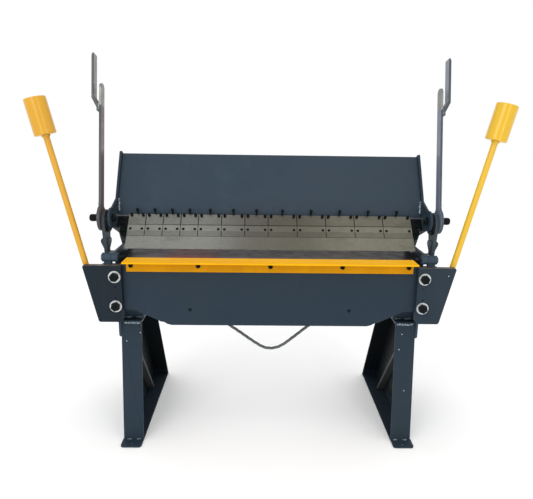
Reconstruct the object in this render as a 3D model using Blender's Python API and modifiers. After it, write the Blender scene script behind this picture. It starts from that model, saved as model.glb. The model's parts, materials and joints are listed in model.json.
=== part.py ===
"""Box-and-pan sheet metal brake, 1220 mm working length, clamp open and folding apron down.

Metres, +Z up, +X to the operator's right, +Y away from the operator. The origin is on the floor,
under the middle of the machine. Sections are drawn round the bend line: (y, z) = (0, 0) there.
"""
from math import acos, atan2, cos, degrees, hypot, pi, radians, sin

import bmesh
import bpy
from mathutils import Matrix, Vector

# ---------------------------------------------------------------- driving dimensions
WORK_LENGTH = 1.220          # all fingers together
BEND_HEIGHT = 0.853          # bend line above the floor
GAP = 0.0003                 # between neighbours that touch

# stands and side frames
BASE_DEPTH_BACK = 0.667      # rear end of a stand, behind the bend line
STAND_FOOT_FRONT = -0.0035
STAND_TOP_FRONT = 0.0525
STAND_TOP_BACK = 0.356
STAND_HEIGHT = 0.542
STAND_OUTER = 0.648          # outer face of a stand's web
STAND_WIDTH = 0.088
STAND_SHEET = 0.008
FOOT_TAB_REACH = 0.053
FOOT_TAB_INNER = STAND_OUTER - STAND_WIDTH + 0.001
FOOT_TAB_OUTER = STAND_OUTER + 0.004
BRACE_WIDTH = 0.034
BRACE_THICK = 0.014
BRACE_TOP = 0.526           # height of its upper end on the front flange
BRACE_FOOT = 0.490          # rear edge of its foot, behind the bend line
SIDE_FRAME_THICK = 0.010
SIDE_FRAME_INNER = STAND_OUTER + GAP
SIDE_FRAME_OUTER = SIDE_FRAME_INNER + SIDE_FRAME_THICK
SIDE_FRAME_DROP = 0.376      # bottom edge below the bend line
SEAT_FRONT = 0.056           # seat between the stand's top and the bed beam
SEAT_UPRIGHT = 0.100
SEAT_BACK = 0.300
SEAT_SHEET = 0.010

# hinge of the folding apron, on the bend line
BARREL_RADIUS = 0.019
BARREL_INNER = 0.632
BARREL_OUTER = 0.6965
HINGE_PIN_RADIUS = 0.009
HINGE_CLEARANCE = 0.0012

# folding apron
FLANGE_WIDTH = 0.090
FLANGE_THICK = 0.006
ANGLE_HALF = 0.598
ANGLE_DROP = 0.057
APRON_PLATE_THICK = 0.009
APRON_HALF = 0.628
APRON_DEPTH = 0.294
EAR_THICK = 0.025
EAR_BOLT_X = 0.643
EAR_BOLT_DROPS = (0.075, 0.202)
EAR_BOLT_RADIUS = 0.010
ARM_RADIUS = 0.0125
ARM_FOOT = (0.726, -0.215)
ARM_LEAN = radians(13.2)
ARM_LENGTH = 0.726
WEIGHT_RADIUS = 0.043
WEIGHT_LENGTH = 0.145

# bed
BED_PLATE_FRONT = 0.0015
BED_PLATE_BACK = 0.205
BED_PLATE_THICK = 0.014
BED_PLATE_HALF = 0.628
BED_BEAM_FRONT = 0.046
BED_BEAM_BACK = 0.196
BED_BEAM_DEPTH = 0.180
BED_BEAM_WALL = 0.010

# clamping beam: its section is drawn closed and turned up about its rear pivot
BEAM_PIVOT = (0.360, -0.120)
CLAMP_OPENING = radians(5.35)
SHEET_CLEARANCE = 0.0012
NOSE = (0.0015, SHEET_CLEARANCE)
FINGER_LEAN = radians(36.3)
FINGER_LENGTH = 0.171
FINGER_NOSE_LENGTH = 0.0616
FINGER_THICK = 0.014
FINGER_STEP = 0.002
FINGER_GAP = 0.0008
FINGER_WIDTHS = [0.075] * 4 + [0.100] * 3 + [0.124] * 5
RAIL_THICK = 0.018
RAIL_LOW = 0.118             # up the fingers' face; the rail runs from end plate to end plate
RAIL_TOP = 0.168
HOLDER_LOW = 0.060           # the finger holder hangs from the rail, behind the fingers only
HOLDER_HALF = WORK_LENGTH / 2 + 0.006
END_PLATE_INNER = SIDE_FRAME_OUTER + 0.0012
END_PLATE_THICK = 0.010
END_PLATE_OUTER = END_PLATE_INNER + END_PLATE_THICK
BEAM_HALF = END_PLATE_INNER - GAP
PANEL_THICK = 0.008
PANEL_FOOT = (0.1215, 0.1330)
PANEL_KNEE = (0.1266, 0.206)
PANEL_TOP = (0.2125, 0.396)
PANEL_LIP = (0.238, 0.386)
STIFFENER_SIZE = 0.050
STIFFENER_WALL = 0.004
STIFFENER_AT = (0.186, 0.206)

# eccentric clamps, one at each end
SHAFT_AT = (0.0186, 0.1270)
SHAFT_RADIUS = 0.010
BOSS_RADIUS = 0.043
ECCENTRIC_THROW = 0.020
ECCENTRIC_RADIUS = 0.034
LEVER_SWING = radians(90)
LINK_INNER = 0.6845
LINK_THICK = 0.014
LINK_EYE_RADIUS = 0.047
LINK_SMALL_RADIUS = 0.019
LINK_SMALL_BORE = 0.0125
LINK_PIN_AT = (0.055, 0.005)
LINK_PIN_RADIUS = 0.006
LEVER_INNER = LINK_INNER + LINK_THICK + 0.002
LEVER_THICK = 0.010
LEVER_WIDTH = 0.045
LEVER_LENGTH = 0.555
LEVER_LEAN = radians(-12)
HUB_RADIUS = 0.0535
GRIP_START = 0.438
GRIP_JOG_FOOT = 0.456
GRIP_JOG_HEAD = 0.496
GRIP_OFFSET = 0.021
GRIP_TOP = 0.675

# lifting rope under the bed
ROPE_RADIUS = 0.0065
ROPE_Y = 0.121
ROPE_SPAN = 0.352
ROPE_ROUTE = [
    (-0.352, -0.2130), (-0.352, -0.2220), (-0.349, -0.2330), (-0.337, -0.2450),
    (-0.310, -0.2605), (-0.272, -0.2825), (-0.222, -0.3140), (-0.172, -0.3475),
    (-0.127, -0.3790), (-0.086, -0.4090), (-0.054, -0.4310), (-0.025, -0.4477),
    (0.007, -0.4543), (0.039, -0.4492), (0.068, -0.4345), (0.098, -0.4110),
    (0.129, -0.3855), (0.173, -0.3490), (0.222, -0.3145), (0.272, -0.2830),
    (0.310, -0.2605), (0.337, -0.2450), (0.349, -0.2330), (0.352, -0.2220),
    (0.352, -0.2130),
]

# the floor origin sits under the middle of the depth, from folding flange to stand
BEND_Y = (FLANGE_WIDTH - BASE_DEPTH_BACK) / 2
ROUND = 32

for old in list(bpy.data.objects):
    bpy.data.objects.remove(old, do_unlink=True)

PARTS = bpy.data.collections.new("sheet_metal_brake")
CUTTERS = bpy.data.collections.new("cutters")
for group in (PARTS, CUTTERS):
    bpy.context.scene.collection.children.link(group)


# ---------------------------------------------------------------- materials
def paint(name, colour, roughness, metallic):
    material = bpy.data.materials.new(name)
    material.use_nodes = True
    shader = material.node_tree.nodes["Principled BSDF"]
    shader.inputs["Base Color"].default_value = (*colour, 1)
    shader.inputs["Roughness"].default_value = roughness
    shader.inputs["Metallic"].default_value = metallic
    return material


COLOURS = {
    "slate": ((0.035, 0.052, 0.070), 0.45, 0.0),
    "yellow": ((0.85, 0.42, 0.015), 0.35, 0.0),
    "steel": ((0.26, 0.26, 0.24), 0.35, 1.0),
    "bed": ((0.10, 0.10, 0.11), 0.22, 1.0),
    "black": ((0.015, 0.015, 0.016), 0.40, 0.6),
    "zinc": ((0.60, 0.62, 0.64), 0.30, 1.0),
    "rope": ((0.20, 0.20, 0.20), 0.60, 0.4),
}


# ---------------------------------------------------------------- shape helpers
def world(x, y, z):
    """A place given from the bend line."""
    return Vector((x, BEND_Y + y, BEND_HEIGHT + z))


def into(group, obj, name):
    obj.name = name
    for holder in list(obj.users_collection):
        holder.objects.unlink(obj)
    group.objects.link(obj)
    return obj


def finish(obj, name, colour):
    into(PARTS, obj, name)
    obj.data.materials.clear()
    obj.data.materials.append(paint(name, *COLOURS[colour]))
    return obj


def arc(centre, radius, start, end, steps=10):
    """Points along an arc, angles in degrees."""
    points = []
    for step in range(steps + 1):
        angle = radians(start + (end - start) * step / steps)
        points.append((centre[0] + radius * cos(angle), centre[1] + radius * sin(angle)))
    return points


def circle(centre, radius, steps=24):
    return arc(centre, radius, 0, 360, steps)[:-1]


def flat(outlines, thickness, location, rotation):
    """A flat plate from closed outlines; every outline after the first is a hole."""
    curve = bpy.data.curves.new("outline", "CURVE")
    curve.dimensions = "2D"
    curve.fill_mode = "BOTH"
    curve.extrude = thickness / 2
    for outline in outlines:
        spline = curve.splines.new("POLY")
        spline.points.add(len(outline) - 1)
        for point, (u, v) in zip(spline.points, outline):
            point.co = (u, v, 0, 1)
        spline.use_cyclic_u = True
    source = bpy.data.objects.new("outline", curve)
    bpy.context.scene.collection.objects.link(source)
    source.matrix_world = Matrix.Translation(location) @ rotation
    bpy.context.view_layer.update()
    plate = as_mesh(source)
    return plate


def as_mesh(source):
    """A mesh object with the evaluated shape of a curve, its caps welded on."""
    graph = bpy.context.evaluated_depsgraph_get()
    mesh = bpy.data.meshes.new_from_object(source.evaluated_get(graph))
    welded = bmesh.new()
    welded.from_mesh(mesh)
    bmesh.ops.remove_doubles(welded, verts=welded.verts, dist=0.00001)
    bmesh.ops.dissolve_limit(welded, angle_limit=radians(0.5), verts=welded.verts, edges=welded.edges)
    bmesh.ops.recalc_face_normals(welded, faces=welded.faces)
    welded.to_mesh(mesh)
    welded.free()
    obj = bpy.data.objects.new("solid", mesh)
    obj.matrix_world = source.matrix_world.copy()
    bpy.context.scene.collection.objects.link(obj)
    bpy.data.objects.remove(source, do_unlink=True)
    return obj


SIDE_ON = Matrix.Rotation(pi / 2, 4, "Z") @ Matrix.Rotation(pi / 2, 4, "X")
FACE_ON = Matrix.Rotation(pi / 2, 4, "X")


def side_plate(outlines, x_inner, x_outer, side=1):
    """A plate lying in Y and Z, its outline given from the bend line."""
    middle = side * (x_inner + x_outer) / 2
    return flat(outlines, x_outer - x_inner, world(middle, 0, 0), SIDE_ON)


def long_bar(outline, half_length):
    """A bar along X with a constant section in Y and Z."""
    return flat([outline], 2 * half_length, world(0, 0, 0), SIDE_ON)


def face_plate(outlines, y_front, y_back, side=1):
    """A plate lying in X and Z, mirrored for the left side."""
    turned = [[(side * x, z) for x, z in outline] for outline in outlines]
    return flat(turned, y_back - y_front, world(0, (y_front + y_back) / 2, 0), FACE_ON)


def box(low, high):
    size = Vector(high) - Vector(low)
    bpy.ops.mesh.primitive_cube_add(size=1, location=(Vector(low) + Vector(high)) / 2)
    obj = bpy.context.object
    obj.data.transform(Matrix.Diagonal((*size, 1)))
    return obj


def turned(stations, side, y, z, steps=ROUND):
    """A turned piece along X: stations are (x, radius) from the machine's middle outwards."""
    points = [(side * x, radius) for x, radius in stations]
    if side < 0:
        points.reverse()
    mesh = bpy.data.meshes.new("turned")
    profile = bmesh.new()
    line = [(points[0][0], 0.0)] + points + [(points[-1][0], 0.0)]
    corners = [profile.verts.new((x, radius, 0)) for x, radius in line]
    for first, second in zip(corners, corners[1:]):
        profile.edges.new((first, second))
    bmesh.ops.spin(profile, geom=profile.verts[:] + profile.edges[:], cent=(0, 0, 0), axis=(1, 0, 0),
                   angle=2 * pi, steps=steps, use_merge=True)
    bmesh.ops.remove_doubles(profile, verts=profile.verts, dist=0.00001)
    bmesh.ops.recalc_face_normals(profile, faces=profile.faces)
    profile.to_mesh(mesh)
    profile.free()
    obj = bpy.data.objects.new("turned", mesh)
    obj.location = world(0, y, z)
    bpy.context.scene.collection.objects.link(obj)
    mesh.shade_smooth()
    mesh.set_sharp_from_angle(angle=radians(35))
    return obj


def combine(obj, tool, operation):
    """Join or cut with a second shape, which stays hidden among the cutters."""
    into(CUTTERS, tool, "cutter_%02d" % len(CUTTERS.objects))
    tool.hide_render = True
    tool.display_type = "WIRE"
    modifier = obj.modifiers.new(operation.lower(), "BOOLEAN")
    modifier.operation = operation
    modifier.solver = "EXACT"
    modifier.object = tool
    return obj


def cylinder(x_inner, x_outer, radius, side, y, z, steps=ROUND):
    return turned([(x_inner, radius), (x_outer, radius)], side, y, z, steps)


def soften(obj, width, segments=1):
    bevel = obj.modifiers.new("bevel", "BEVEL")
    bevel.width = width
    bevel.segments = segments
    bevel.limit_method = "ANGLE"
    bevel.angle_limit = radians(40)
    return obj


def pivot(name, place, angle):
    """An empty on a joint's axis. Pieces are drawn unturned and then hung on it."""
    empty = bpy.data.objects.new(name, None)
    PARTS.objects.link(empty)
    empty.location = place
    empty.rotation_euler.x = angle
    empty.empty_display_size = 0.05
    return empty


def hang(empty, *pieces):
    for piece in pieces:
        piece.parent = empty
        piece.matrix_parent_inverse = Matrix.Translation(-empty.location)
        for modifier in piece.modifiers:
            if modifier.type == "BOOLEAN":
                hang(empty, modifier.object)


def turn_about(centre, point, angle):
    """A point of a Y and Z section turned about a centre, up at the front for a negative angle."""
    dy = point[0] - centre[0]
    dz = point[1] - centre[1]
    return (centre[0] + dy * cos(angle) - dz * sin(angle), centre[1] + dy * sin(angle) + dz * cos(angle))


def opened(point):
    """Where a point of the closed clamping beam is when the clamp is open."""
    return turn_about(BEAM_PIVOT, point, -CLAMP_OPENING)


SIDES = (("left", -1), ("right", 1))


# ---------------------------------------------------------------- stands, side frames and bed
def on_floor(y, height):
    return (y, height - BEND_HEIGHT)


def stand_outline(inset=0.0, rise=0.0):
    """The stand's side view; an inset copy with a raised top is its inside."""
    front = (STAND_TOP_FRONT - STAND_FOOT_FRONT) / STAND_HEIGHT
    back = (STAND_TOP_BACK - BASE_DEPTH_BACK) / STAND_HEIGHT
    low, high = inset, STAND_HEIGHT + rise

    def front_at(height):
        return STAND_FOOT_FRONT + front * height + inset

    def back_at(height):
        return BASE_DEPTH_BACK + back * height - inset * hypot(1, back)

    return [on_floor(front_at(low), low), on_floor(back_at(low), low),
            on_floor(back_at(high), high), on_floor(front_at(high), high)]


def foot_tab(side):
    inner = FOOT_TAB_INNER
    outer = FOOT_TAB_OUTER
    back = STAND_FOOT_FRONT + 0.006
    front = STAND_FOOT_FRONT - FOOT_TAB_REACH
    corner = 0.012
    outline = [(outer, back), (inner, back)]
    outline += arc((inner + corner, front + corner), corner, 180, 270, 5)
    outline += arc((outer - corner, front + corner), corner, 270, 360, 5)
    hole = circle(((inner + outer) / 2, front + 0.022), 0.007, 16)
    mirrored = [[(side * x, y) for x, y in ring] for ring in (outline, hole)]
    middle = STAND_SHEET / 2
    return flat(mirrored, STAND_SHEET, Vector((0, BEND_Y, middle)), Matrix.Identity(4))


def make_stand(word, side):
    shell = side_plate([stand_outline()], STAND_OUTER - STAND_WIDTH, STAND_OUTER, side)
    inside = side_plate([stand_outline(STAND_SHEET, 0.05)],
                        STAND_OUTER - STAND_WIDTH - 0.05, STAND_OUTER - STAND_SHEET, side)
    combine(shell, inside, "DIFFERENCE")
    combine(shell, foot_tab(side), "UNION")
    finish(shell, word + "_stand", "slate")


def make_stand_brace(word, side):
    """Diagonal bar from the top of the front flange to the bottom flange."""
    slope = (STAND_TOP_FRONT - STAND_FOOT_FRONT) / STAND_HEIGHT
    base = STAND_SHEET + GAP

    def flange_at(height):
        return STAND_FOOT_FRONT + slope * height + STAND_SHEET + GAP

    rise, run = BRACE_TOP - base, BRACE_FOOT - flange_at(BRACE_TOP)
    low_top = BRACE_TOP - BRACE_THICK * hypot(rise, run) / run
    low_foot = BRACE_FOOT - BRACE_THICK * hypot(rise, run) / rise
    outline = [on_floor(flange_at(low_top), low_top), on_floor(low_foot, base),
               on_floor(BRACE_FOOT, base), on_floor(flange_at(BRACE_TOP), BRACE_TOP)]
    outer = STAND_OUTER - STAND_SHEET - GAP
    finish(side_plate([outline], outer - BRACE_WIDTH, outer, side), word + "_stand_brace", "slate")


def side_frame_outline():
    pivot_y, pivot_z = BEAM_PIVOT
    lug = 0.036
    bottom = -SIDE_FRAME_DROP
    outline = arc((0, 0), BARREL_RADIUS, 90, 270, 12)
    outline += [(0.030, -BARREL_RADIUS), (0.046, -0.036), (0.046, -0.060)]
    outline += [(0.046, bottom + 0.012), (0.058, bottom), (0.340, bottom)]
    outline += arc((pivot_y, pivot_z), lug, -35, 75, 8)
    outline += [(0.290, BARREL_RADIUS)]
    return outline


def make_side_frame(word, side):
    """Plate outside the stand's web, with the inner hinge barrel and the seat under the bed beam."""
    bore = circle((0, 0), HINGE_PIN_RADIUS + GAP, 24)
    rear_bore = circle(BEAM_PIVOT, SHAFT_RADIUS + GAP, 24)
    frame = side_plate([side_frame_outline(), bore, rear_bore], SIDE_FRAME_INNER, SIDE_FRAME_OUTER, side)
    sleeve = side_plate([circle((0, 0), BARREL_RADIUS, 24), bore], BARREL_INNER,
                        SIDE_FRAME_INNER + 0.004, side)
    combine(frame, sleeve, "UNION")
    low = STAND_HEIGHT - BEND_HEIGHT + GAP
    top = -BED_PLATE_THICK - BED_BEAM_DEPTH - 2 * GAP
    upright = SEAT_UPRIGHT + SEAT_SHEET
    high = low + SEAT_SHEET
    seat = [(SEAT_FRONT, low), (SEAT_BACK, low), (SEAT_BACK, high), (upright, high),
            (upright, top), (SEAT_UPRIGHT, top), (SEAT_UPRIGHT, high), (SEAT_FRONT, high)]
    combine(frame, side_plate([seat], STAND_OUTER - STAND_WIDTH, SIDE_FRAME_INNER + 0.004, side), "UNION")
    finish(frame, word + "_side_frame", "slate")


def make_bed():
    top = -BED_PLATE_THICK - GAP
    low = top - BED_BEAM_DEPTH
    half = SIDE_FRAME_INNER - GAP
    outer = [(BED_BEAM_FRONT, low), (BED_BEAM_BACK, low), (BED_BEAM_BACK, top), (BED_BEAM_FRONT, top)]
    wall = BED_BEAM_WALL
    inner = [(BED_BEAM_FRONT + wall, low + wall), (BED_BEAM_BACK - wall, low + wall),
             (BED_BEAM_BACK - wall, top - wall), (BED_BEAM_FRONT + wall, top - wall)]
    beam = flat([outer, inner], 2 * half, world(0, 0, 0), SIDE_ON)
    finish(beam, "bed_beam", "slate")
    chamfer = 0.005
    section = [(BED_PLATE_FRONT, 0), (BED_PLATE_FRONT, -BED_PLATE_THICK + chamfer),
               (BED_PLATE_FRONT + chamfer, -BED_PLATE_THICK), (BED_PLATE_BACK, -BED_PLATE_THICK),
               (BED_PLATE_BACK, 0)]
    finish(long_bar(section, BED_PLATE_HALF), "bed_plate", "bed")


def make_pins(word, side):
    hinge = turned([(BARREL_INNER + 0.001, HINGE_PIN_RADIUS), (BARREL_OUTER + 0.0006, HINGE_PIN_RADIUS),
                    (BARREL_OUTER + 0.0006, 0.0135), (BARREL_OUTER + 0.0046, 0.0135)], side, 0, 0, 24)
    finish(hinge, word + "_hinge_pin", "steel")
    collar_end = LINK_INNER - 0.001
    head = LINK_INNER + LINK_THICK + 0.0008
    link = turned([(SIDE_FRAME_OUTER + GAP, 0.011), (collar_end, 0.011), (collar_end, LINK_PIN_RADIUS),
                   (head, LINK_PIN_RADIUS), (head + 0.0004, 0.0045)],
                  side, *LINK_PIN_AT, 24)
    finish(link, word + "_link_pin", "steel")
    rear = turned([(SIDE_FRAME_INNER - 0.006, 0.016), (SIDE_FRAME_INNER - GAP, 0.016),
                   (SIDE_FRAME_INNER - GAP, SHAFT_RADIUS), (END_PLATE_OUTER + 0.002, SHAFT_RADIUS)],
                  side, *BEAM_PIVOT, 24)
    finish(rear, word + "_beam_pivot_pin", "steel")


def make_apron_stop(word, side):
    """Block on the side frame's front edge that the hinge arm rests against."""
    low = world(side * SIDE_FRAME_INNER, APRON_BACK + 0.0103 + 2 * GAP, -0.160)
    high = world(side * SIDE_FRAME_OUTER, 0.046 - GAP, -0.125)
    low.x, high.x = sorted((low.x, high.x))
    stop = soften(box(low, high), 0.001)
    finish(stop, word + "_apron_stop", "black")


# ---------------------------------------------------------------- folding apron
APRON_FRONT = -0.0097
APRON_BACK = APRON_FRONT + APRON_PLATE_THICK


def make_apron_plate():
    half = [(APRON_HALF, -FLANGE_THICK - GAP), (APRON_HALF, -0.2265), (0.572, -0.2265),
            (0.462, -0.279), (0.450, -0.2805), (0.436, -0.289), (0.418, -APRON_DEPTH)]
    # the corners beyond the folding angle step down clear of the hinge barrels
    corner = [(ANGLE_HALF, -FLANGE_THICK - GAP), (ANGLE_HALF, -0.026), (APRON_HALF, -0.026)]
    right = corner + half[1:]
    left = [(-x, z) for x, z in reversed(right)]
    holes = [circle((side * 0.338, -0.224), 0.005, 12) for side in (-1, 1)]
    finish(face_plate([right + left] + holes, APRON_FRONT, APRON_BACK), "apron_plate", "slate")


def make_folding_angle():
    front = -FLANGE_WIDTH
    leg_back = APRON_FRONT - GAP
    leg_front = leg_back - 0.008
    section = [(front, 0), (-0.001, 0), (-0.001, -FLANGE_THICK), (leg_back, -FLANGE_THICK),
               (leg_back, -ANGLE_DROP), (leg_front, -ANGLE_DROP), (leg_front, -FLANGE_THICK),
               (front, -FLANGE_THICK)]
    finish(long_bar(section, ANGLE_HALF), "folding_angle", "yellow")


def make_hinge_arm(word, side):
    """Plate behind the ear, with a tongue up to the outer hinge barrel."""
    inner = APRON_HALF + GAP
    tongue_inner = SIDE_FRAME_OUTER + HINGE_CLEARANCE
    outline = [(inner, -0.028), (inner, -0.245), (0.700, -0.245), (0.700, -0.028),
               (0.690, -0.028), (0.690, 0.0), (tongue_inner, 0.0), (tongue_inner, -0.028)]
    holes = [circle((EAR_BOLT_X, -drop), EAR_BOLT_RADIUS + GAP, 24) for drop in EAR_BOLT_DROPS]
    arm = face_plate([outline] + holes, APRON_FRONT, APRON_BACK + 0.0103, side)
    barrel = side_plate([circle((0, 0), BARREL_RADIUS, 24)], tongue_inner, BARREL_OUTER, side)
    combine(arm, barrel, "UNION")
    combine(arm, cylinder(BARREL_INNER, BARREL_OUTER + 0.01, HINGE_PIN_RADIUS + GAP, side, 0, 0, 24),
            "DIFFERENCE")
    return finish(arm, word + "_hinge_arm", "slate")


def ear_outline():
    corner = 0.006
    outline = [(0.615, -0.027), (0.615, -0.262), (0.625, -0.2725), (0.7183 - corner, -0.2725)]
    outline += [(0.7183, -0.2725 + corner), (0.774 - 0.001, -0.027 - corner), (0.774 - corner, -0.027)]
    return outline


def make_ear(word, side):
    holes = [circle((EAR_BOLT_X, -drop), EAR_BOLT_RADIUS + GAP, 24) for drop in EAR_BOLT_DROPS]
    holes += [circle((0.642, z), 0.003, 10) for z in (-0.119, -0.166)]
    back = APRON_FRONT - GAP
    ear = face_plate([ear_outline()] + holes, back - EAR_THICK, back, side)
    finish(soften(ear, 0.001), word + "_ear", "slate")


def make_ear_bolt(name, side, drop):
    """Hexagon bolt with its washer, through the ear and the hinge arm, along Y."""
    face = APRON_FRONT - GAP - EAR_THICK
    washer = 0.004
    head = 0.013
    shank_end = APRON_BACK + 0.0103 + 0.008
    place = world(side * EAR_BOLT_X, 0, -drop)

    def rod(y_front, y_back, radius, steps):
        bpy.ops.mesh.primitive_cylinder_add(vertices=steps, radius=radius, depth=y_back - y_front,
                                            location=place + Vector((0, (y_front + y_back) / 2, 0)),
                                            rotation=(pi / 2, 0, 0))
        return bpy.context.object

    bolt = rod(face - GAP - washer, face - GAP, 0.0255, 32)
    combine(bolt, rod(face - GAP - washer - head, face - GAP - washer / 2, 0.0205, 6), "UNION")
    combine(bolt, rod(face - GAP - washer / 2, shank_end, EAR_BOLT_RADIUS, 24), "UNION")
    finish(bolt, name, "black")


def make_counterweight(word, side):
    """Round arm up the ear's outer edge, with its weight on top."""
    along = Vector((side * sin(ARM_LEAN), 0, cos(ARM_LEAN)))
    foot = world(side * ARM_FOOT[0], APRON_FRONT + ARM_RADIUS + GAP, ARM_FOOT[1])
    tilt = (0, side * ARM_LEAN, 0)

    def rod(start, length, radius, steps):
        bpy.ops.mesh.primitive_cylinder_add(vertices=steps, radius=radius, depth=length,
                                            location=foot + along * (start + length / 2), rotation=tilt)
        rod_obj = bpy.context.object
        rod_obj.data.shade_smooth()
        rod_obj.data.set_sharp_from_angle(angle=radians(35))
        return rod_obj

    finish(rod(0, ARM_LENGTH, ARM_RADIUS, 24), word + "_counterweight_arm", "yellow")
    weight = rod(ARM_LENGTH + GAP, WEIGHT_LENGTH, WEIGHT_RADIUS, 40)
    finish(soften(weight, 0.004, 2), word + "_counterweight", "yellow")


def make_apron():
    make_apron_plate()
    make_folding_angle()
    for word, side in SIDES:
        make_hinge_arm(word, side)
        make_ear(word, side)
        make_counterweight(word, side)
        for level, drop in zip(("upper", "lower"), EAR_BOLT_DROPS):
            make_ear_bolt("%s_%s_ear_bolt" % (word, level), side, drop)


# ---------------------------------------------------------------- clamping beam and fingers
ALONG = (sin(FINGER_LEAN), cos(FINGER_LEAN))
BEHIND = (cos(FINGER_LEAN), -sin(FINGER_LEAN))


def on_finger(up, back):
    """A point of the section, measured up the finger's face and back into it."""
    return (NOSE[0] + up * ALONG[0] + back * BEHIND[0], NOSE[1] + up * ALONG[1] + back * BEHIND[1])


def finger_outline():
    heel_up = FINGER_THICK * BEHIND[1] / -ALONG[1]
    return [on_finger(0, 0), on_finger(FINGER_NOSE_LENGTH, 0), on_finger(FINGER_NOSE_LENGTH, FINGER_STEP),
            on_finger(FINGER_LENGTH, FINGER_STEP), on_finger(FINGER_LENGTH, FINGER_THICK),
            on_finger(heel_up, FINGER_THICK)]


def make_fingers():
    edge = -WORK_LENGTH / 2
    fingers = []
    for number, width in enumerate(FINGER_WIDTHS, start=1):
        finger = flat([finger_outline()], width - FINGER_GAP, world(edge + width / 2, 0, 0), SIDE_ON)
        fingers.append(finish(soften(finger, 0.0005), "finger_%02d" % number, "steel"))
        edge += width
    return fingers


def make_finger_rail():
    """Rail between the end plates, with the shorter finger holder hanging from it."""
    front = FINGER_THICK + GAP
    back = front + RAIL_THICK

    def bar(low, high, half_length):
        outline = [on_finger(low, front), on_finger(high, front), on_finger(high, back), on_finger(low, back)]
        return long_bar(outline, half_length)

    rail = bar(RAIL_LOW, RAIL_TOP, BEAM_HALF)
    overlap = 0.010
    combine(rail, bar(HOLDER_LOW, RAIL_LOW + overlap, HOLDER_HALF), "UNION")
    return finish(rail, "finger_rail", "slate")


def make_clamp_panel():
    """Folded sheet with a lip along its top, drawn as a surface and thickened."""
    route = [PANEL_FOOT, PANEL_KNEE, PANEL_TOP, PANEL_LIP]
    sheet = bmesh.new()
    rows = [[sheet.verts.new((x, y, z)) for y, z in route] for x in (-BEAM_HALF, BEAM_HALF)]
    for step in range(len(route) - 1):
        sheet.edges.new((rows[0][step], rows[0][step + 1]))
        sheet.edges.new((rows[1][step], rows[1][step + 1]))
    bmesh.ops.bridge_loops(sheet, edges=sheet.edges[:])
    mesh = bpy.data.meshes.new("clamp_panel")
    sheet.to_mesh(mesh)
    sheet.free()
    panel = bpy.data.objects.new("clamp_panel", mesh)
    panel.location = world(0, 0, 0)
    bpy.context.scene.collection.objects.link(panel)
    solid = panel.modifiers.new("sheet", "SOLIDIFY")
    solid.thickness = PANEL_THICK
    solid.offset = 0
    solid.use_even_offset = True
    return finish(panel, "clamp_panel", "slate")


def make_beam_stiffener():
    y, z = STIFFENER_AT
    half = STIFFENER_SIZE / 2
    hollow = half - STIFFENER_WALL
    outer = [(y - half, z - half), (y + half, z - half), (y + half, z + half), (y - half, z + half)]
    inner = [(y - hollow, z - hollow), (y + hollow, z - hollow),
             (y + hollow, z + hollow), (y - hollow, z + hollow)]
    tube = flat([outer, inner], 2 * BEAM_HALF, world(0, 0, 0), SIDE_ON)
    return finish(tube, "beam_stiffener", "slate")


def end_plate_outline():
    outline = arc(SHAFT_AT, BOSS_RADIUS, 75, 290, 18)
    outline += [(0.150, 0.052), (0.300, -0.120)]
    outline += arc(BEAM_PIVOT, 0.034, 215, 385, 12)
    outline += [(0.285, 0.180), (0.250, 0.384), (0.242, 0.397), (0.205, 0.411), (0.197, 0.407)]
    outline += [(0.108, 0.206)]
    return outline


def make_end_plate(word, side):
    bores = [circle(SHAFT_AT, SHAFT_RADIUS + GAP, 24), circle(BEAM_PIVOT, SHAFT_RADIUS + GAP, 24)]
    plate = side_plate([end_plate_outline()] + bores, END_PLATE_INNER, END_PLATE_OUTER, side)
    return finish(soften(plate, 0.001), word + "_beam_end_plate", "slate")


def make_clamping_beam():
    pieces = make_fingers() + [make_finger_rail(), make_clamp_panel(), make_beam_stiffener()]
    for word, side in SIDES:
        pieces.append(make_end_plate(word, side))
    hang(pivot("clamping_beam_pivot", world(0, *BEAM_PIVOT), -CLAMP_OPENING), *pieces)


# ---------------------------------------------------------------- eccentric clamps
SHAFT_OPEN = opened(SHAFT_AT)
THROW_ANGLE = -LEVER_SWING / 2
ECCENTRIC_OPEN = (SHAFT_OPEN[0] + ECCENTRIC_THROW * cos(THROW_ANGLE),
                  SHAFT_OPEN[1] + ECCENTRIC_THROW * sin(THROW_ANGLE))


def make_lever(word, side):
    """Hub disc and flat bar, drawn upright over the shaft."""
    y, z = SHAFT_OPEN
    half = LEVER_WIDTH / 2
    meet = degrees(acos(half / HUB_RADIUS))
    outline = arc((y, z), HUB_RADIUS, 180 - meet, 360 + meet, 30)
    outline += arc((y, z + LEVER_LENGTH - half), half, 0, 180, 12)
    bore = circle((y, z), SHAFT_RADIUS + GAP, 24)
    lever = side_plate([outline, bore], LEVER_INNER, LEVER_INNER + LEVER_THICK, side)
    return finish(soften(lever, 0.001), word + "_clamp_lever", "slate")


def make_grip(word, side):
    """Flat bar jogged outwards from the lever's outer face."""
    y, z = SHAFT_OPEN
    face = LEVER_INNER + LEVER_THICK + GAP
    thick = LEVER_THICK
    outer = GRIP_OFFSET + thick
    slant = thick * 0.42
    outline = [(0, GRIP_START), (thick, GRIP_START), (thick, GRIP_JOG_FOOT - slant),
               (outer, GRIP_JOG_HEAD - slant), (outer, GRIP_TOP - outer * 0.3), (outer - 0.004, GRIP_TOP),
               (GRIP_OFFSET, GRIP_TOP), (GRIP_OFFSET, GRIP_JOG_HEAD + slant), (0, GRIP_JOG_FOOT + slant)]
    placed = [(face + x, z + height) for x, height in outline]
    half = LEVER_WIDTH / 2
    grip = face_plate([placed], y - half, y + half, side)
    return finish(soften(grip, 0.001), word + "_lever_grip", "steel")


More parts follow.
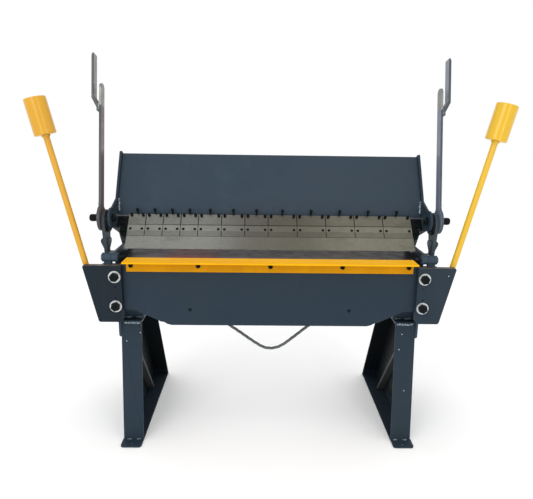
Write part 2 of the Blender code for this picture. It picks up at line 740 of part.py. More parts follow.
def make_eccentric(word, side):
    """Disc that turns with the lever, off the shaft's centre."""
    disc = side_plate([circle(ECCENTRIC_OPEN, ECCENTRIC_RADIUS, 36),
                       circle(SHAFT_OPEN, SHAFT_RADIUS + GAP, 24)],
                      LINK_INNER - 0.001, LINK_INNER + LINK_THICK + 0.001, side)
    return finish(disc, word + "_eccentric", "black")


def make_shaft(word, side):
    """Shaft through the end plate, with a collar inside and a round knob outside."""
    inner = END_PLATE_INNER - GAP
    lever_face = LEVER_INNER + LEVER_THICK + GAP
    shaft = turned([(inner - 0.011, 0.0165), (inner, 0.0165), (inner, SHAFT_RADIUS),
                    (lever_face, SHAFT_RADIUS), (lever_face, 0.0145), (lever_face + 0.008, 0.0145),
                    (lever_face + 0.008, 0.0115), (lever_face + 0.034, 0.0115),
                    (lever_face + 0.038, 0.0075)], side, *SHAFT_OPEN, 24)
    return finish(shaft, word + "_eccentric_shaft", "black")


def make_link(word, side):
    """Tapered link: a wide eye round the eccentric and a loose eye round the lower pin."""
    across = (LINK_PIN_AT[0] - ECCENTRIC_OPEN[0], LINK_PIN_AT[1] - ECCENTRIC_OPEN[1])
    length = hypot(*across)
    heading = atan2(across[1], across[0])
    spread = pi / 2 - (LINK_EYE_RADIUS - LINK_SMALL_RADIUS) / length
    low = degrees(heading - spread)
    high = degrees(heading + spread)
    outline = arc(ECCENTRIC_OPEN, LINK_EYE_RADIUS, high, low + 360, 24)
    outline += arc(LINK_PIN_AT, LINK_SMALL_RADIUS, low, high, 12)
    holes = [circle(ECCENTRIC_OPEN, ECCENTRIC_RADIUS + 0.0008, 36),
             circle(LINK_PIN_AT, LINK_SMALL_BORE, 20)]
    link = side_plate([outline] + holes, LINK_INNER, LINK_INNER + LINK_THICK, side)
    return finish(link, word + "_clamp_link", "slate")


def make_clamps():
    for word, side in SIDES:
        lever_axis = pivot(word + "_lever_pivot", world(0, *SHAFT_OPEN), LEVER_LEAN)
        hang(lever_axis, make_lever(word, side), make_grip(word, side))
        make_eccentric(word, side)
        make_shaft(word, side)
        make_link(word, side)


# ---------------------------------------------------------------- lifting rope
def make_rope():
    """Slack sling under the bed, its points read from a smooth curve through the route."""
    source = bpy.data.curves.new("rope_route", "CURVE")
    source.dimensions = "3D"
    source.resolution_u = 4
    guide = source.splines.new("BEZIER")
    guide.bezier_points.add(len(ROPE_ROUTE) - 1)
    for point, (x, z) in zip(guide.bezier_points, ROPE_ROUTE):
        point.co = world(x, ROPE_Y, z)
        point.handle_left_type = "AUTO"
        point.handle_right_type = "AUTO"
    holder = bpy.data.objects.new("rope_route", source)
    bpy.context.scene.collection.objects.link(holder)
    graph = bpy.context.evaluated_depsgraph_get()
    sampled = bpy.data.meshes.new_from_object(holder.evaluated_get(graph))
    places = [vertex.co.copy() for vertex in sampled.vertices][::2]
    bpy.data.objects.remove(holder, do_unlink=True)
    tube = bpy.data.curves.new("lifting_rope", "CURVE")
    tube.dimensions = "3D"
    tube.bevel_depth = ROPE_RADIUS
    tube.bevel_resolution = 2
    tube.use_fill_caps = True
    line = tube.splines.new("POLY")
    line.points.add(len(places) - 1)
    for point, place in zip(line.points, places):
        point.co = (*place, 1)
    rope = bpy.data.objects.new("lifting_rope", tube)
    bpy.context.scene.collection.objects.link(rope)
    finish(rope, "lifting_rope", "rope")


def make_rope_anchor(word, side):
    """Screwed stud under the bed beam that holds one end of the rope."""
    top = -BED_PLATE_THICK - BED_BEAM_DEPTH - 2 * GAP
    place = world(side * ROPE_SPAN, ROPE_Y, 0)
    depth = top - ROPE_ROUTE[0][1] - GAP
    bpy.ops.mesh.primitive_cylinder_add(vertices=20, radius=0.012, depth=depth,
                                        location=place + Vector((0, 0, top - depth / 2)))
    finish(bpy.context.object, word + "_rope_anchor", "zinc")


# ---------------------------------------------------------------- assembly
def build():
    for word, side in SIDES:
        make_stand(word, side)
        make_stand_brace(word, side)
        make_side_frame(word, side)
        make_pins(word, side)
        make_apron_stop(word, side)
        make_rope_anchor(word, side)
    make_bed()
    make_apron()
    make_clamping_beam()
    make_clamps()
    make_rope()
    CUTTERS.hide_render = True


build()
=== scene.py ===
import json
from math import atan2, cos, pi, radians, sin, tan

import bmesh
import bpy
from mathutils import Matrix, Vector, noise


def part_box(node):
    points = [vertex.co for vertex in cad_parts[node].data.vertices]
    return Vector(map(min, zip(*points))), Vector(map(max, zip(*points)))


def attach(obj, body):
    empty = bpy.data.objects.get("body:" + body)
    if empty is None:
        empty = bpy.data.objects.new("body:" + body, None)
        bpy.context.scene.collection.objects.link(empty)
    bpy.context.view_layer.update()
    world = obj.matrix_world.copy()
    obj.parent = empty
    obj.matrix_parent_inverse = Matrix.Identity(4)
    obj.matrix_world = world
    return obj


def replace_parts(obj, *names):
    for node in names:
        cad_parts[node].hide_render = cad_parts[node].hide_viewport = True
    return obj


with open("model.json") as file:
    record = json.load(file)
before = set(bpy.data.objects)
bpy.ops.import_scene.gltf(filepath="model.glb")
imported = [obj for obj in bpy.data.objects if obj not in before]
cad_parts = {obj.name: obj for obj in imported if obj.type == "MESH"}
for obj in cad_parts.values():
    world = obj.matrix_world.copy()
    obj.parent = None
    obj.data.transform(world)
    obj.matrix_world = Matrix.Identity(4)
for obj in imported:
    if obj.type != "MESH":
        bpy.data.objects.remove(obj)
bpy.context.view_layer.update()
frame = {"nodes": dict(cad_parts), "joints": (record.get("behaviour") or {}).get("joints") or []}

NODES = frame["nodes"]
JOINTS = {joint["name"]: joint for joint in frame["joints"]}
SIDES = (("left", -1), ("right", 1))

BEND = Vector(JOINTS["apron_fold"]["pos_m"])
BEAM_PIVOT = Vector(JOINTS["beam_clamp"]["pos_m"])
CLAMP_OPENING = radians(JOINTS["beam_clamp"]["range_deg"][1])

# the fingers' face, as in the model: nose of the closed clamp from the bend line, lean and step
NOSE = (0.0015, 0.0012)
FINGER_LEAN = radians(36.3)
FINGER_LENGTH = 0.171
FINGER_NOSE_LENGTH = 0.0616
FINGER_STEP = 0.002

# the raised levers lean back
LEVER_LEAN = radians(12)
LEVER_WIDTH = 0.045
LEVER_BARE_FROM = 0.455

# the stands: face of the web, width of the flanges, height, and each flange's foot and slope
STAND_WEB = 0.648
STAND_FLANGE = 0.088
STAND_HEIGHT = 0.542
STAND_FRONT_FOOT = -0.0035
STAND_FRONT_SLOPE = atan2(0.056, STAND_HEIGHT)
STAND_REAR_FOOT = 0.667
STAND_REAR_LEAN = atan2(0.311, STAND_HEIGHT)

# ---------------------------------------------------------------- camera
CAMERA_AT = BEND + Vector((-0.057, -2.108, 0.531))
CAMERA_DOWN = radians(13.14)
CAMERA_YAW = radians(1.08)
CAMERA_ROLL = radians(0.80)
CAMERA_LENS = 35.19


def make_camera():
    level = Vector((sin(CAMERA_YAW), cos(CAMERA_YAW), 0))
    forward = cos(CAMERA_DOWN) * level - sin(CAMERA_DOWN) * Vector((0, 0, 1))
    right = Vector((cos(CAMERA_YAW), -sin(CAMERA_YAW), 0))
    up = right.cross(forward)
    across = cos(CAMERA_ROLL) * right + sin(CAMERA_ROLL) * up
    upright = cos(CAMERA_ROLL) * up - sin(CAMERA_ROLL) * right
    turn = Matrix((across, upright, -forward)).transposed().to_4x4()
    camera = bpy.data.objects.new("camera", bpy.data.cameras.new("camera"))
    camera.data.lens = CAMERA_LENS
    camera.matrix_world = Matrix.Translation(CAMERA_AT) @ turn
    bpy.context.scene.collection.objects.link(camera)
    bpy.context.scene.camera = camera


# ---------------------------------------------------------------- materials
class Finish:
    """One procedural material. Textures use the piece's own coordinates, so they stay on it."""

    def __init__(self, name):
        self.material = bpy.data.materials.new(name)
        self.material.use_nodes = True
        self.tree = self.material.node_tree
        self.shader = self.tree.nodes["Principled BSDF"]
        self.place = self.add("ShaderNodeTexCoord").outputs["Object"]

    def add(self, kind, **settings):
        node = self.tree.nodes.new(kind)
        for key, value in settings.items():
            setattr(node, key, value)
        return node

    def feed(self, socket, value):
        """Link a socket to another node, or give it a constant."""
        if isinstance(value, bpy.types.NodeSocket):
            self.tree.links.new(value, socket)
        elif isinstance(value, tuple) and len(value) == 3 and socket.type == "RGBA":
            socket.default_value = (*value, 1)
        else:
            socket.default_value = value

    def cloud(self, scale, detail=4.0, stretch=(1, 1, 1)):
        """Noise whose grain is stretched along the axes that have a small factor."""
        mapping = self.add("ShaderNodeMapping")
        self.feed(mapping.inputs["Vector"], self.place)
        self.feed(mapping.inputs["Scale"], stretch)
        texture = self.add("ShaderNodeTexNoise")
        self.feed(texture.inputs["Vector"], mapping.outputs[0])
        self.feed(texture.inputs["Scale"], scale)
        self.feed(texture.inputs["Detail"], detail)
        return texture.outputs[0]

    def between(self, value, low, high, bottom=0.0, top=1.0):
        """Smooth step of a value from low to high, as bottom to top."""
        node = self.add("ShaderNodeMapRange", interpolation_type="SMOOTHSTEP")
        for name, number in (("From Min", low), ("From Max", high), ("To Min", bottom), ("To Max", top)):
            self.feed(node.inputs[name], number)
        self.feed(node.inputs["Value"], value)
        return node.outputs[0]

    def calculate(self, operation, first, second, clamp=False):
        node = self.add("ShaderNodeMath", operation=operation, use_clamp=clamp)
        self.feed(node.inputs[0], first)
        self.feed(node.inputs[1], second)
        return node.outputs[0]

    def times(self, first, second):
        return self.calculate("MULTIPLY", first, second, clamp=True)

    def mix(self, share, first, second):
        """Blend of two colours: a share of 0 gives the first, 1 the second."""
        node = self.add("ShaderNodeMix", data_type="RGBA")
        self.feed(node.inputs[0], share)
        self.feed(node.inputs[6], first)
        self.feed(node.inputs[7], second)
        return node.outputs[2]

    def along(self, direction):
        """How far a point of the piece lies in one direction."""
        node = self.add("ShaderNodeVectorMath", operation="DOT_PRODUCT")
        self.feed(node.inputs[0], self.place)
        self.feed(node.inputs[1], direction)
        return node.outputs["Value"]

    def edges(self, radius):
        """1 on sharp edges and 0 on flat faces."""
        rounded = self.add("ShaderNodeBevel", samples=4)
        self.feed(rounded.inputs["Radius"], radius)
        geometry = self.add("ShaderNodeNewGeometry")
        dot = self.add("ShaderNodeVectorMath", operation="DOT_PRODUCT")
        self.feed(dot.inputs[0], rounded.outputs[0])
        self.feed(dot.inputs[1], geometry.outputs["Normal"])
        return self.between(dot.outputs["Value"], 0.975, 0.86)

    def bump(self, height, strength, distance):
        node = self.add("ShaderNodeBump")
        self.feed(node.inputs["Height"], height)
        self.feed(node.inputs["Strength"], strength)
        self.feed(node.inputs["Distance"], distance)
        self.feed(self.shader.inputs["Normal"], node.outputs[0])

    def orange_peel(self):
        self.bump(self.cloud(420.0, 2.0), 0.12, 0.0006)

    def set(self, **values):
        for name, value in values.items():
            self.feed(self.shader.inputs[name.replace("_", " ")], value)
        return self.material


def scaled(colour, factor):
    """A lighter or darker colour of the same hue."""
    return tuple(factor * channel for channel in colour)


def enamel_layers(finish, colour, shade, bare, gloss):
    """Brushed-on enamel: slow tone changes, dust, scuffs and paint worn thin along the edges."""
    slow = finish.between(finish.cloud(2.3, 3.0), 0.35, 0.68)
    base = finish.mix(slow, colour, shade)
    drips = finish.between(finish.cloud(9.0, 5.0, (1, 1, 0.25)), 0.55, 0.80, 0.0, 0.45)
    base = finish.mix(drips, base, scaled(shade, 1.35))
    dust = finish.between(finish.cloud(330.0, 2.0), 0.66, 0.76, 0.0, 0.16)
    base = finish.mix(dust, base, bare)
    patchy = finish.between(finish.cloud(45.0, 4.0), 0.40, 0.66)
    worn = finish.times(finish.edges(0.0014), patchy)
    base = finish.mix(finish.times(worn, 0.65), base, bare)
    rough = finish.between(finish.cloud(28.0, 5.0), 0.3, 0.7, gloss - 0.06, gloss + 0.10)
    return base, rough


def enamel(name, colour, shade, gloss, specular=0.12):
    finish = Finish(name)
    base, rough = enamel_layers(finish, colour, shade, SLATE_BARE, gloss)
    finish.orange_peel()
    return finish.set(Base_Color=base, Roughness=rough, Specular_IOR_Level=specular)


SLATE = (0.0190, 0.0330, 0.0490)
SLATE_SHADE = (0.0215, 0.0345, 0.0480)
SLATE_BARE = (0.070, 0.085, 0.092)
# nearly black slate: painted shade inside the stands
SLATE_PAINTED_SHADE = (0.0030, 0.0042, 0.0050)
BROWN_EDGE = (0.115, 0.090, 0.075)
EAR_TONES = {"left": 0.50, "right": 0.95}
# painted reflections on the levers' inner faces, brown on the left and blue on the right
LEVER_PAINTED_REFLECTIONS = {"left": (0.135, 0.085, 0.076), "right": (0.150, 0.180, 0.250)}
GRIP_TONES = {"left": (0.250, 0.250, 0.220), "right": (0.220, 0.245, 0.300)}


def ear_enamel(word):
    """Slate enamel whose cut upper edge shows brown primer."""
    finish = Finish(word + "_ear_enamel")
    tone = EAR_TONES[word]
    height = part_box(word + "_ear")[1].z
    base, rough = enamel_layers(finish, scaled(SLATE, tone), scaled(SLATE_SHADE, tone), SLATE_BARE, 0.42)
    upper = finish.between(finish.along((0, 0, 1)), height - 0.0016, height - 0.0008)
    patchy = finish.between(finish.cloud(60.0, 4.0), 0.38, 0.62, 0.45, 1.0)
    base = finish.mix(finish.times(upper, patchy), base, BROWN_EDGE)
    finish.orange_peel()
    return finish.set(Base_Color=base, Roughness=rough, Specular_IOR_Level=0.12)


def stand_enamel(word, side):
    """Slate enamel with painted shade inside the stand, where it is nearly black."""
    finish = Finish(word + "_stand_enamel")
    base, rough = enamel_layers(finish, SLATE, SLATE_SHADE, SLATE_BARE, 0.50)
    inward = Vector((0, cos(STAND_FRONT_SLOPE), -sin(STAND_FRONT_SLOPE)))
    face = inward.dot((0, BEND.y + STAND_FRONT_FOOT, 0))
    behind = finish.between(finish.along(tuple(inward)), face + 0.006, face + 0.016)
    outward = Vector((0, cos(STAND_REAR_LEAN), sin(STAND_REAR_LEAN)))
    rear = outward.dot((0, BEND.y + STAND_REAR_FOOT, 0))
    before = finish.between(finish.along(tuple(outward)), rear - 0.0012, rear - 0.0004, 1.0, 0.0)
    within = finish.between(finish.along((side, 0, 0)), STAND_WEB - 0.0012, STAND_WEB - 0.0004, 1.0, 0.0)
    raised = finish.between(finish.along((0, 0, 1)), 0.010, 0.060, 0.35, 0.92)
    # painted shade: behind the front flange, inside the web and in front of the rear flange, fading near
    # the floor
    painted_shade_mask = finish.times(finish.times(behind, within), finish.times(before, raised))
    base = finish.mix(painted_shade_mask, base, SLATE_PAINTED_SHADE)
    finish.orange_peel()
    return finish.set(Base_Color=base, Roughness=rough, Specular_IOR_Level=0.12)


def gloss_enamel(name):
    """Glossy yellow enamel over filled steel, a little greener on the right of the machine."""
    finish = Finish(name)
    colour, shade, bare = (0.660, 0.345, 0.004), (0.600, 0.300, 0.003), (0.740, 0.420, 0.020)
    base, rough = enamel_layers(finish, colour, shade, bare, 0.20)
    right = finish.between(finish.along((1, 0, 0)), 0.0, 0.3, 0.0, 0.8)
    base = finish.mix(right, base, (0.700, 0.430, 0.004))
    finish.bump(finish.cloud(60.0, 2.0), 0.05, 0.0010)
    return finish.set(Base_Color=base, Roughness=rough, Specular_IOR_Level=0.20, Coat_Weight=0.8,
                      Coat_Roughness=0.24)


def angle_enamel(name):
    """Flat yellow enamel, with painted shade on the leg below the flange, where the flange shades it."""
    finish = Finish(name)
    colour, shade, bare = (0.86, 0.43, 0.006), (0.80, 0.38, 0.005), (0.90, 0.55, 0.08)
    base, rough = enamel_layers(finish, colour, shade, bare, 0.50)
    leg_shade = finish.between(finish.along((0, 0, 1)), BEND.z - 0.0075, BEND.z - 0.0050, 1.0, 0.0)
    drips = finish.between(finish.cloud(12.0, 4.0, (1, 1, 0.3)), 0.3, 0.7, 0.75, 1.0)
    # painted shade: the leg below the flange is darkened, in streaks
    base = finish.mix(finish.times(leg_shade, drips), base, (0.53, 0.235, 0.003))
    finish.orange_peel()
    return finish.set(Base_Color=base, Roughness=rough, Specular_IOR_Level=0.04)


def lever_hub(word):
    return Vector(JOINTS[word + "_lever_swing"]["pos_m"])


def lever_enamel(word, side):
    """Slate enamel with a painted reflection on the inner face, and a bare steel end above the grip's foot.
    """
    finish = Finish(word + "_lever_enamel")
    base, rough = enamel_layers(finish, (0.030, 0.046, 0.062), (0.026, 0.038, 0.050), SLATE_BARE, 0.40)
    inner = min(abs(corner.x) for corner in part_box(word + "_clamp_lever"))
    # painted reflection: the inner face takes its side's tint
    face = finish.between(finish.along((side, 0, 0)), inner + 0.0006, inner + 0.0014, 0.8, 0.0)
    base = finish.mix(face, base, LEVER_PAINTED_REFLECTIONS[word])
    up = Vector((0, sin(LEVER_LEAN), cos(LEVER_LEAN)))
    ragged = finish.times(finish.cloud(30.0, 3.0), 0.012)
    height = finish.calculate("SUBTRACT", finish.along(tuple(up)), ragged)
    start = up.dot(lever_hub(word)) + LEVER_BARE_FROM
    bare = finish.between(height, start, start + 0.004)
    steel = finish.mix(finish.cloud(40.0, 5.0, (1, 1, 0.2)), (0.16, 0.165, 0.16), (0.30, 0.30, 0.285))
    base = finish.mix(bare, base, steel)
    finish.bump(finish.cloud(300.0, 2.0), 0.15, 0.0006)
    return finish.set(Base_Color=base, Roughness=rough, Metallic=bare)


def grip_steel(word):
    """Bare flat bar: bright drawn faces and dark mill scale on the front edge."""
    finish = Finish(word + "_grip_steel")
    across = Vector((0, cos(LEVER_LEAN), -sin(LEVER_LEAN)))
    front = across.dot(lever_hub(word)) - LEVER_WIDTH / 2
    scale = finish.between(finish.along(tuple(across)), front + 0.0008, front + 0.0020, 0.9, 0.0)
    drawn = finish.cloud(240.0, 3.0, (1, 1, 0.04))
    tone = GRIP_TONES[word]
    base = finish.mix(finish.between(drawn, 0.35, 0.7, 0.0, 0.4), tone, scaled(tone, 0.65))
    rust = finish.between(finish.cloud(35.0, 5.0), 0.60, 0.76, 0.0, 0.5)
    base = finish.mix(rust, base, (0.120, 0.085, 0.060))
    base = finish.mix(scale, base, (0.060, 0.068, 0.072))
    roughness = finish.between(finish.cloud(60.0, 4.0), 0.3, 0.7, 0.34, 0.52)
    finish.bump(drawn, 0.05, 0.0003)
    return finish.set(Base_Color=base, Roughness=roughness, Metallic=0.6, Specular_IOR_Level=0.3)


def bare_steel(name):
    """Turned bare steel: fine parallel grain, blotches of oil and faint stains."""
    finish = Finish(name)
    dark, light = (0.120, 0.125, 0.128), (0.195, 0.200, 0.200)
    lines = finish.cloud(900.0, 3.0, (1, 1, 0.06))
    blotch = finish.between(finish.cloud(14.0, 5.0), 0.36, 0.66)
    base = finish.mix(blotch, light, dark)
    base = finish.mix(finish.between(lines, 0.35, 0.75, 0.0, 0.35), base, dark)
    marks = finish.between(finish.cloud(70.0, 6.0), 0.62, 0.78, 0.0, 0.55)
    base = finish.mix(marks, base, (0.10, 0.075, 0.05))
    bright = finish.between(finish.edges(0.0010), 0.2, 1.0, 0.0, 0.6)
    base = finish.mix(bright, base, scaled(light, 1.8))
    roughness = finish.between(finish.cloud(38.0, 4.0), 0.3, 0.7, 0.35, 0.49)
    finish.bump(lines, 0.10, 0.0004)
    return finish.set(Base_Color=base, Roughness=roughness, Metallic=1.0)


# where along the bed each painted reflection's tint is strongest, and the tint
BED_PAINTED_REFLECTIONS = (
    (-0.62, (0.004, 0.004, 0.005)), (-0.55, (0.014, 0.013, 0.015)), (-0.50, (0.085, 0.062, 0.080)),
    (-0.43, (0.110, 0.050, 0.060)), (-0.39, (0.165, 0.018, 0.020)), (-0.26, (0.138, 0.017, 0.018)),
    (-0.22, (0.060, 0.034, 0.045)), (-0.06, (0.060, 0.048, 0.054)), (0.04, (0.050, 0.037, 0.026)),
    (0.30, (0.078, 0.064, 0.044)), (0.45, (0.045, 0.039, 0.030)), (0.54, (0.005, 0.005, 0.006)),
)


def bed_steel(name):
    """Dark polished steel with painted reflections whose tint drifts along the bed."""
    finish = Finish(name)
    low, high = BED_PAINTED_REFLECTIONS[0][0], -BED_PAINTED_REFLECTIONS[0][0]
    wander = finish.between(finish.cloud(7.0, 3.0, (1, 3, 3)), 0.3, 0.7, -0.03, 0.03)
    share = finish.add("ShaderNodeMapRange")
    finish.feed(share.inputs["Value"], finish.calculate("ADD", finish.along((1, 0, 0)), wander))
    finish.feed(share.inputs["From Min"], low)
    finish.feed(share.inputs["From Max"], high)
    # painted reflection: the tints ramp along the bed
    ramp = finish.add("ShaderNodeValToRGB")
    finish.feed(ramp.inputs[0], share.outputs[0])
    stops = ramp.color_ramp.elements
    while len(stops) < len(BED_PAINTED_REFLECTIONS):
        stops.new(1.0)
    for stop, (place, colour) in zip(stops, BED_PAINTED_REFLECTIONS):
        stop.position = (place - low) / (high - low)
        stop.color = (*colour, 1)
    lines = finish.cloud(700.0, 2.0, (0.04, 1, 1))
    base = finish.mix(finish.between(lines, 0.4, 0.7, 0.0, 0.35), ramp.outputs[0], (0.03, 0.028, 0.03))
    roughness = finish.between(finish.cloud(20.0, 4.0), 0.3, 0.7, 0.22, 0.36)
    finish.bump(lines, 0.06, 0.0003)
    return finish.set(Base_Color=base, Roughness=roughness, Specular_IOR_Level=0.016)


def black_oxide(name):
    """Mottled black steel, worn grey along the edges."""
    finish = Finish(name)
    black = (0.0030, 0.0045, 0.0050)
    mottled = finish.mix(finish.cloud(60.0, 4.0), black, scaled(black, 1.7))
    worn = finish.times(finish.edges(0.0008), finish.between(finish.cloud(120.0, 3.0), 0.35, 0.6))
    base = finish.mix(finish.times(worn, 0.7), mottled, (0.045, 0.048, 0.048))
    roughness = finish.between(finish.cloud(90.0, 3.0), 0.3, 0.7, 0.34, 0.50)
    finish.bump(finish.cloud(800.0, 2.0), 0.10, 0.0004)
    return finish.set(Base_Color=base, Roughness=roughness, Specular_IOR_Level=0.07)


def finger_steel(name, level):
    """Ground steel brushed along the bend, darker in the middle of the row.
    A level under 1 darkens all of it."""
    finish = Finish(name)
    across = finish.along((1, 0, 0))
    rising = finish.between(across, -0.30, -0.05)
    middle = finish.times(rising, finish.between(across, 0.10, 0.36, 1.0, 0.0))
    olive = finish.between(across, -0.20, 0.35)
    plain_steel = finish.mix(olive, (0.205, 0.206, 0.192), (0.172, 0.166, 0.128))
    middle_tone = finish.mix(finish.between(across, -0.25, 0.30), (0.108, 0.102, 0.084), (0.098, 0.090, 0.068))
    base = finish.mix(finish.times(middle, 0.85), plain_steel, middle_tone)
    lines = finish.cloud(900.0, 3.0, (0.05, 1, 1))
    base = finish.mix(finish.between(lines, 0.35, 0.75, 0.0, 0.35), base, (0.070, 0.068, 0.058))
    smears = finish.between(finish.cloud(24.0, 5.0, (0.35, 1, 1)), 0.52, 0.74, 0.0, 0.40)
    base = finish.mix(smears, base, (0.090, 0.085, 0.070))
    specks = finish.between(finish.cloud(90.0, 5.0), 0.66, 0.78, 0.0, 0.5)
    base = finish.mix(specks, base, (0.060, 0.050, 0.040))
    base = finish.mix(1.0 - level, base, (0.0, 0.0, 0.0))
    edges = finish.between(finish.edges(0.0010), 0.2, 1.0, 0.0, 0.5)
    base = finish.mix(edges, base, (0.42, 0.42, 0.39))
    roughness = finish.between(finish.cloud(38.0, 4.0), 0.3, 0.7, 0.30, 0.42)
    finish.bump(lines, 0.10, 0.0004)
    return finish.set(Base_Color=base, Roughness=roughness, Metallic=1.0)


def zinc_plate(name):
    """Dull zinc with fine crystals."""
    finish = Finish(name)
    base = finish.mix(finish.cloud(110.0, 4.0), (0.46, 0.49, 0.50), (0.68, 0.70, 0.71))
    crystals = finish.cloud(600.0, 2.0)
    roughness = finish.between(crystals, 0.3, 0.7, 0.30, 0.46)
    finish.bump(crystals, 0.08, 0.0003)
    return finish.set(Base_Color=base, Roughness=roughness, Metallic=0.75)


def weld_metal(name, colour, bright):
    """Rippled bead under thin paint, bright where the light catches the ripples."""
    finish = Finish(name)
    base = finish.mix(finish.between(finish.cloud(160.0, 4.0), 0.40, 0.62), colour, bright)
    roughness = finish.between(finish.cloud(90.0, 3.0), 0.3, 0.7, 0.22, 0.40)
    finish.bump(finish.cloud(500.0, 3.0), 0.35, 0.0008)
    return finish.set(Base_Color=base, Roughness=roughness, Metallic=0.35)


def rope_wire(name):
    """Galvanised wires: fine slanting lines with grease between them."""
    finish = Finish(name)
    wires = finish.cloud(900.0, 2.0, (1, 1, 0.3))
    base = finish.mix(finish.between(wires, 0.35, 0.65), (0.022, 0.026, 0.028), (0.20, 0.21, 0.21))
    roughness = finish.between(wires, 0.3, 0.7, 0.36, 0.60)
    finish.bump(wires, 0.5, 0.0006)
    return finish.set(Base_Color=base, Roughness=roughness, Metallic=0.6)


def studio_floor(name):
    """Plain pale floor that glows a little, so that it stays white between shadows."""
    finish = Finish(name)
    base = finish.mix(finish.cloud(1.2, 3.0), (0.95, 0.95, 0.95), (0.97, 0.97, 0.97))
    roughness = finish.between(finish.cloud(3.0), 0.3, 0.7, 0.7, 0.8)
    return finish.set(Base_Color=base, Roughness=roughness, Specular_IOR_Level=0.1,
                      Emission_Color=(1.0, 1.0, 1.0), Emission_Strength=0.05)


SLATE_PAINT = enamel("slate_enamel", SLATE, SLATE_SHADE, 0.50)
BRACE_PAINT = enamel("brace_enamel", (0.060, 0.064, 0.066), (0.046, 0.050, 0.053), 0.55)
LINK_PAINT = enamel("link_enamel", (0.050, 0.068, 0.084), (0.040, 0.052, 0.062), 0.45)
# lighter than the slate enamel: painted reflection of the sky on the tilted panel
SKY_LIT_PANEL_PAINT = enamel("panel_enamel", (0.0280, 0.0460, 0.0660), (0.0320, 0.0470, 0.0640), 0.55)
YELLOW_PAINT = gloss_enamel("yellow_enamel")
HINGE_PAINT = enamel("hinge_enamel", scaled(SLATE, 1.5), scaled(SLATE_SHADE, 1.5), 0.45, 0.14)
ANGLE_PAINT = angle_enamel("angle_enamel")
NOSE_STEEL = finger_steel("nose_steel", 1.0)
PLATE_STEEL = finger_steel("plate_steel", 0.78)
BED_STEEL = bed_steel("bed_steel")
BARE_STEEL = bare_steel("bare_steel")
BLACK_STEEL = black_oxide("black_oxide")
ZINC = zinc_plate("zinc_plate")
WELD = weld_metal("painted_weld", (0.06, 0.085, 0.10), (0.34, 0.42, 0.46))
YELLOW_WELD = weld_metal("yellow_weld", (0.60, 0.28, 0.01), (0.90, 0.60, 0.12))
ROPE_WIRE = rope_wire("rope_wire")


# ---------------------------------------------------------------- mesh tools
# a tenth of a millimetre, between a detail's foot and the face it sits on
HAIR = 0.0001


def aim(place, direction):
    """A frame at a place whose Z axis points in a direction."""
    return Matrix.Translation(place) @ Vector(direction).to_track_quat("Z", "Y").to_matrix().to_4x4()


def bridge(mesh, loops):
    """Faces between neighbouring rings of vertices."""
    count = len(loops[0])
    for low, high in zip(loops, loops[1:]):
        for step in range(count):
            after = (step + 1) % count
            mesh.faces.new((low[step], low[after], high[after], high[step]))


def loft(mesh, rings, hollow=False):
    """A closed solid through rings of equal length. A hollow one joins the last ring to the first."""
    loops = [[mesh.verts.new(point) for point in ring] for ring in rings]
    if hollow:
        bridge(mesh, loops + loops[:1])
        return
    bridge(mesh, loops)
    mesh.faces.new(list(reversed(loops[0])))
    mesh.faces.new(loops[-1])


def lathe(mesh, matrix, profile, steps=24, turn=0.0):
    """A turned solid round the frame's Z axis. The profile is (radius, height) from the bottom up."""
    rings = []
    for radius, height in profile:
        angles = [turn + 2 * pi * step / steps for step in range(steps)]
        rings.append([matrix @ Vector((radius * cos(a), radius * sin(a), height)) for a in angles])
    loft(mesh, rings)


def slab(mesh, matrix, outline, low, high, chamfer=0.0):
    """A flat plate on the frame's XY plane, its outer edge chamfered at the top."""
    middle = sum((Vector((u, v, 0)) for u, v in outline), Vector()) / len(outline)

    def ring(height, inset):
        points = []
        for u, v in outline:
            inward = middle - Vector((u, v, 0))
            step = Vector((inset if inward.x > 0 else -inset, inset if inward.y > 0 else -inset, 0))
            points.append(matrix @ (Vector((u, v, height)) + step))
        return points

    rings = [ring(low, 0), ring(high - chamfer, 0)]
    if chamfer:
        rings.append(ring(high, chamfer))
    loft(mesh, rings)


def rectangle(left, right, bottom, top):
    return [(left, bottom), (right, bottom), (right, top), (left, top)]


def lifted(matrix, height):
    """The same frame, moved along its own Z axis."""
    return matrix @ Matrix.Translation((0, 0, height))


def hexagon_head(mesh, matrix, radius, height, turn=0.0):
    lathe(mesh, matrix, [(radius, 0), (radius, height * 0.86), (radius * 0.90, height)], 6, turn)


def washer_disc(mesh, matrix, radius, thick):
    lathe(mesh, matrix, [(radius, 0), (radius, thick - 0.0006), (radius - 0.0006, thick)], 32)


def socket_head(mesh, matrix, radius, height):
    """Round head with a socket sunk into it."""
    lathe(mesh, matrix, [(radius, 0), (radius, height * 0.88), (radius * 0.90, height),
                         (radius * 0.52, height), (radius * 0.46, height * 0.45)], 18)


def bead(mesh, start, end, radius):
    """A weld bead between two points: overlapping ripples that taper off at both ends."""
    start, end = Vector(start), Vector(end)
    length = (end - start).length
    count = max(6, int(length / (radius * 0.30)))
    profile = []
    for step in range(count + 1):
        share = step / count
        taper = min(1.0, 6 * share + 0.35, 6 * (1 - share) + 0.35)
        uneven = 0.08 * noise.noise(start * 90 + Vector((step, 0, 0)))
        ripple = 0.84 + 0.16 * abs(sin(step * pi / 3)) + uneven
        profile.append((radius * taper * ripple, share * length))
    lathe(mesh, aim(start, end - start), profile, 10)


def piece(name, mesh, material, body, smooth=35):
    """Make a mesh an object that rides on a body."""
    bmesh.ops.recalc_face_normals(mesh, faces=mesh.faces)
    data = bpy.data.meshes.new(name)
    mesh.to_mesh(data)
    mesh.free()
    data.shade_smooth()
    data.set_sharp_from_angle(angle=radians(smooth))
    data.materials.append(material)
    obj = bpy.data.objects.new(name, data)
    bpy.context.scene.collection.objects.link(obj)
    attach(obj, body)
    return obj


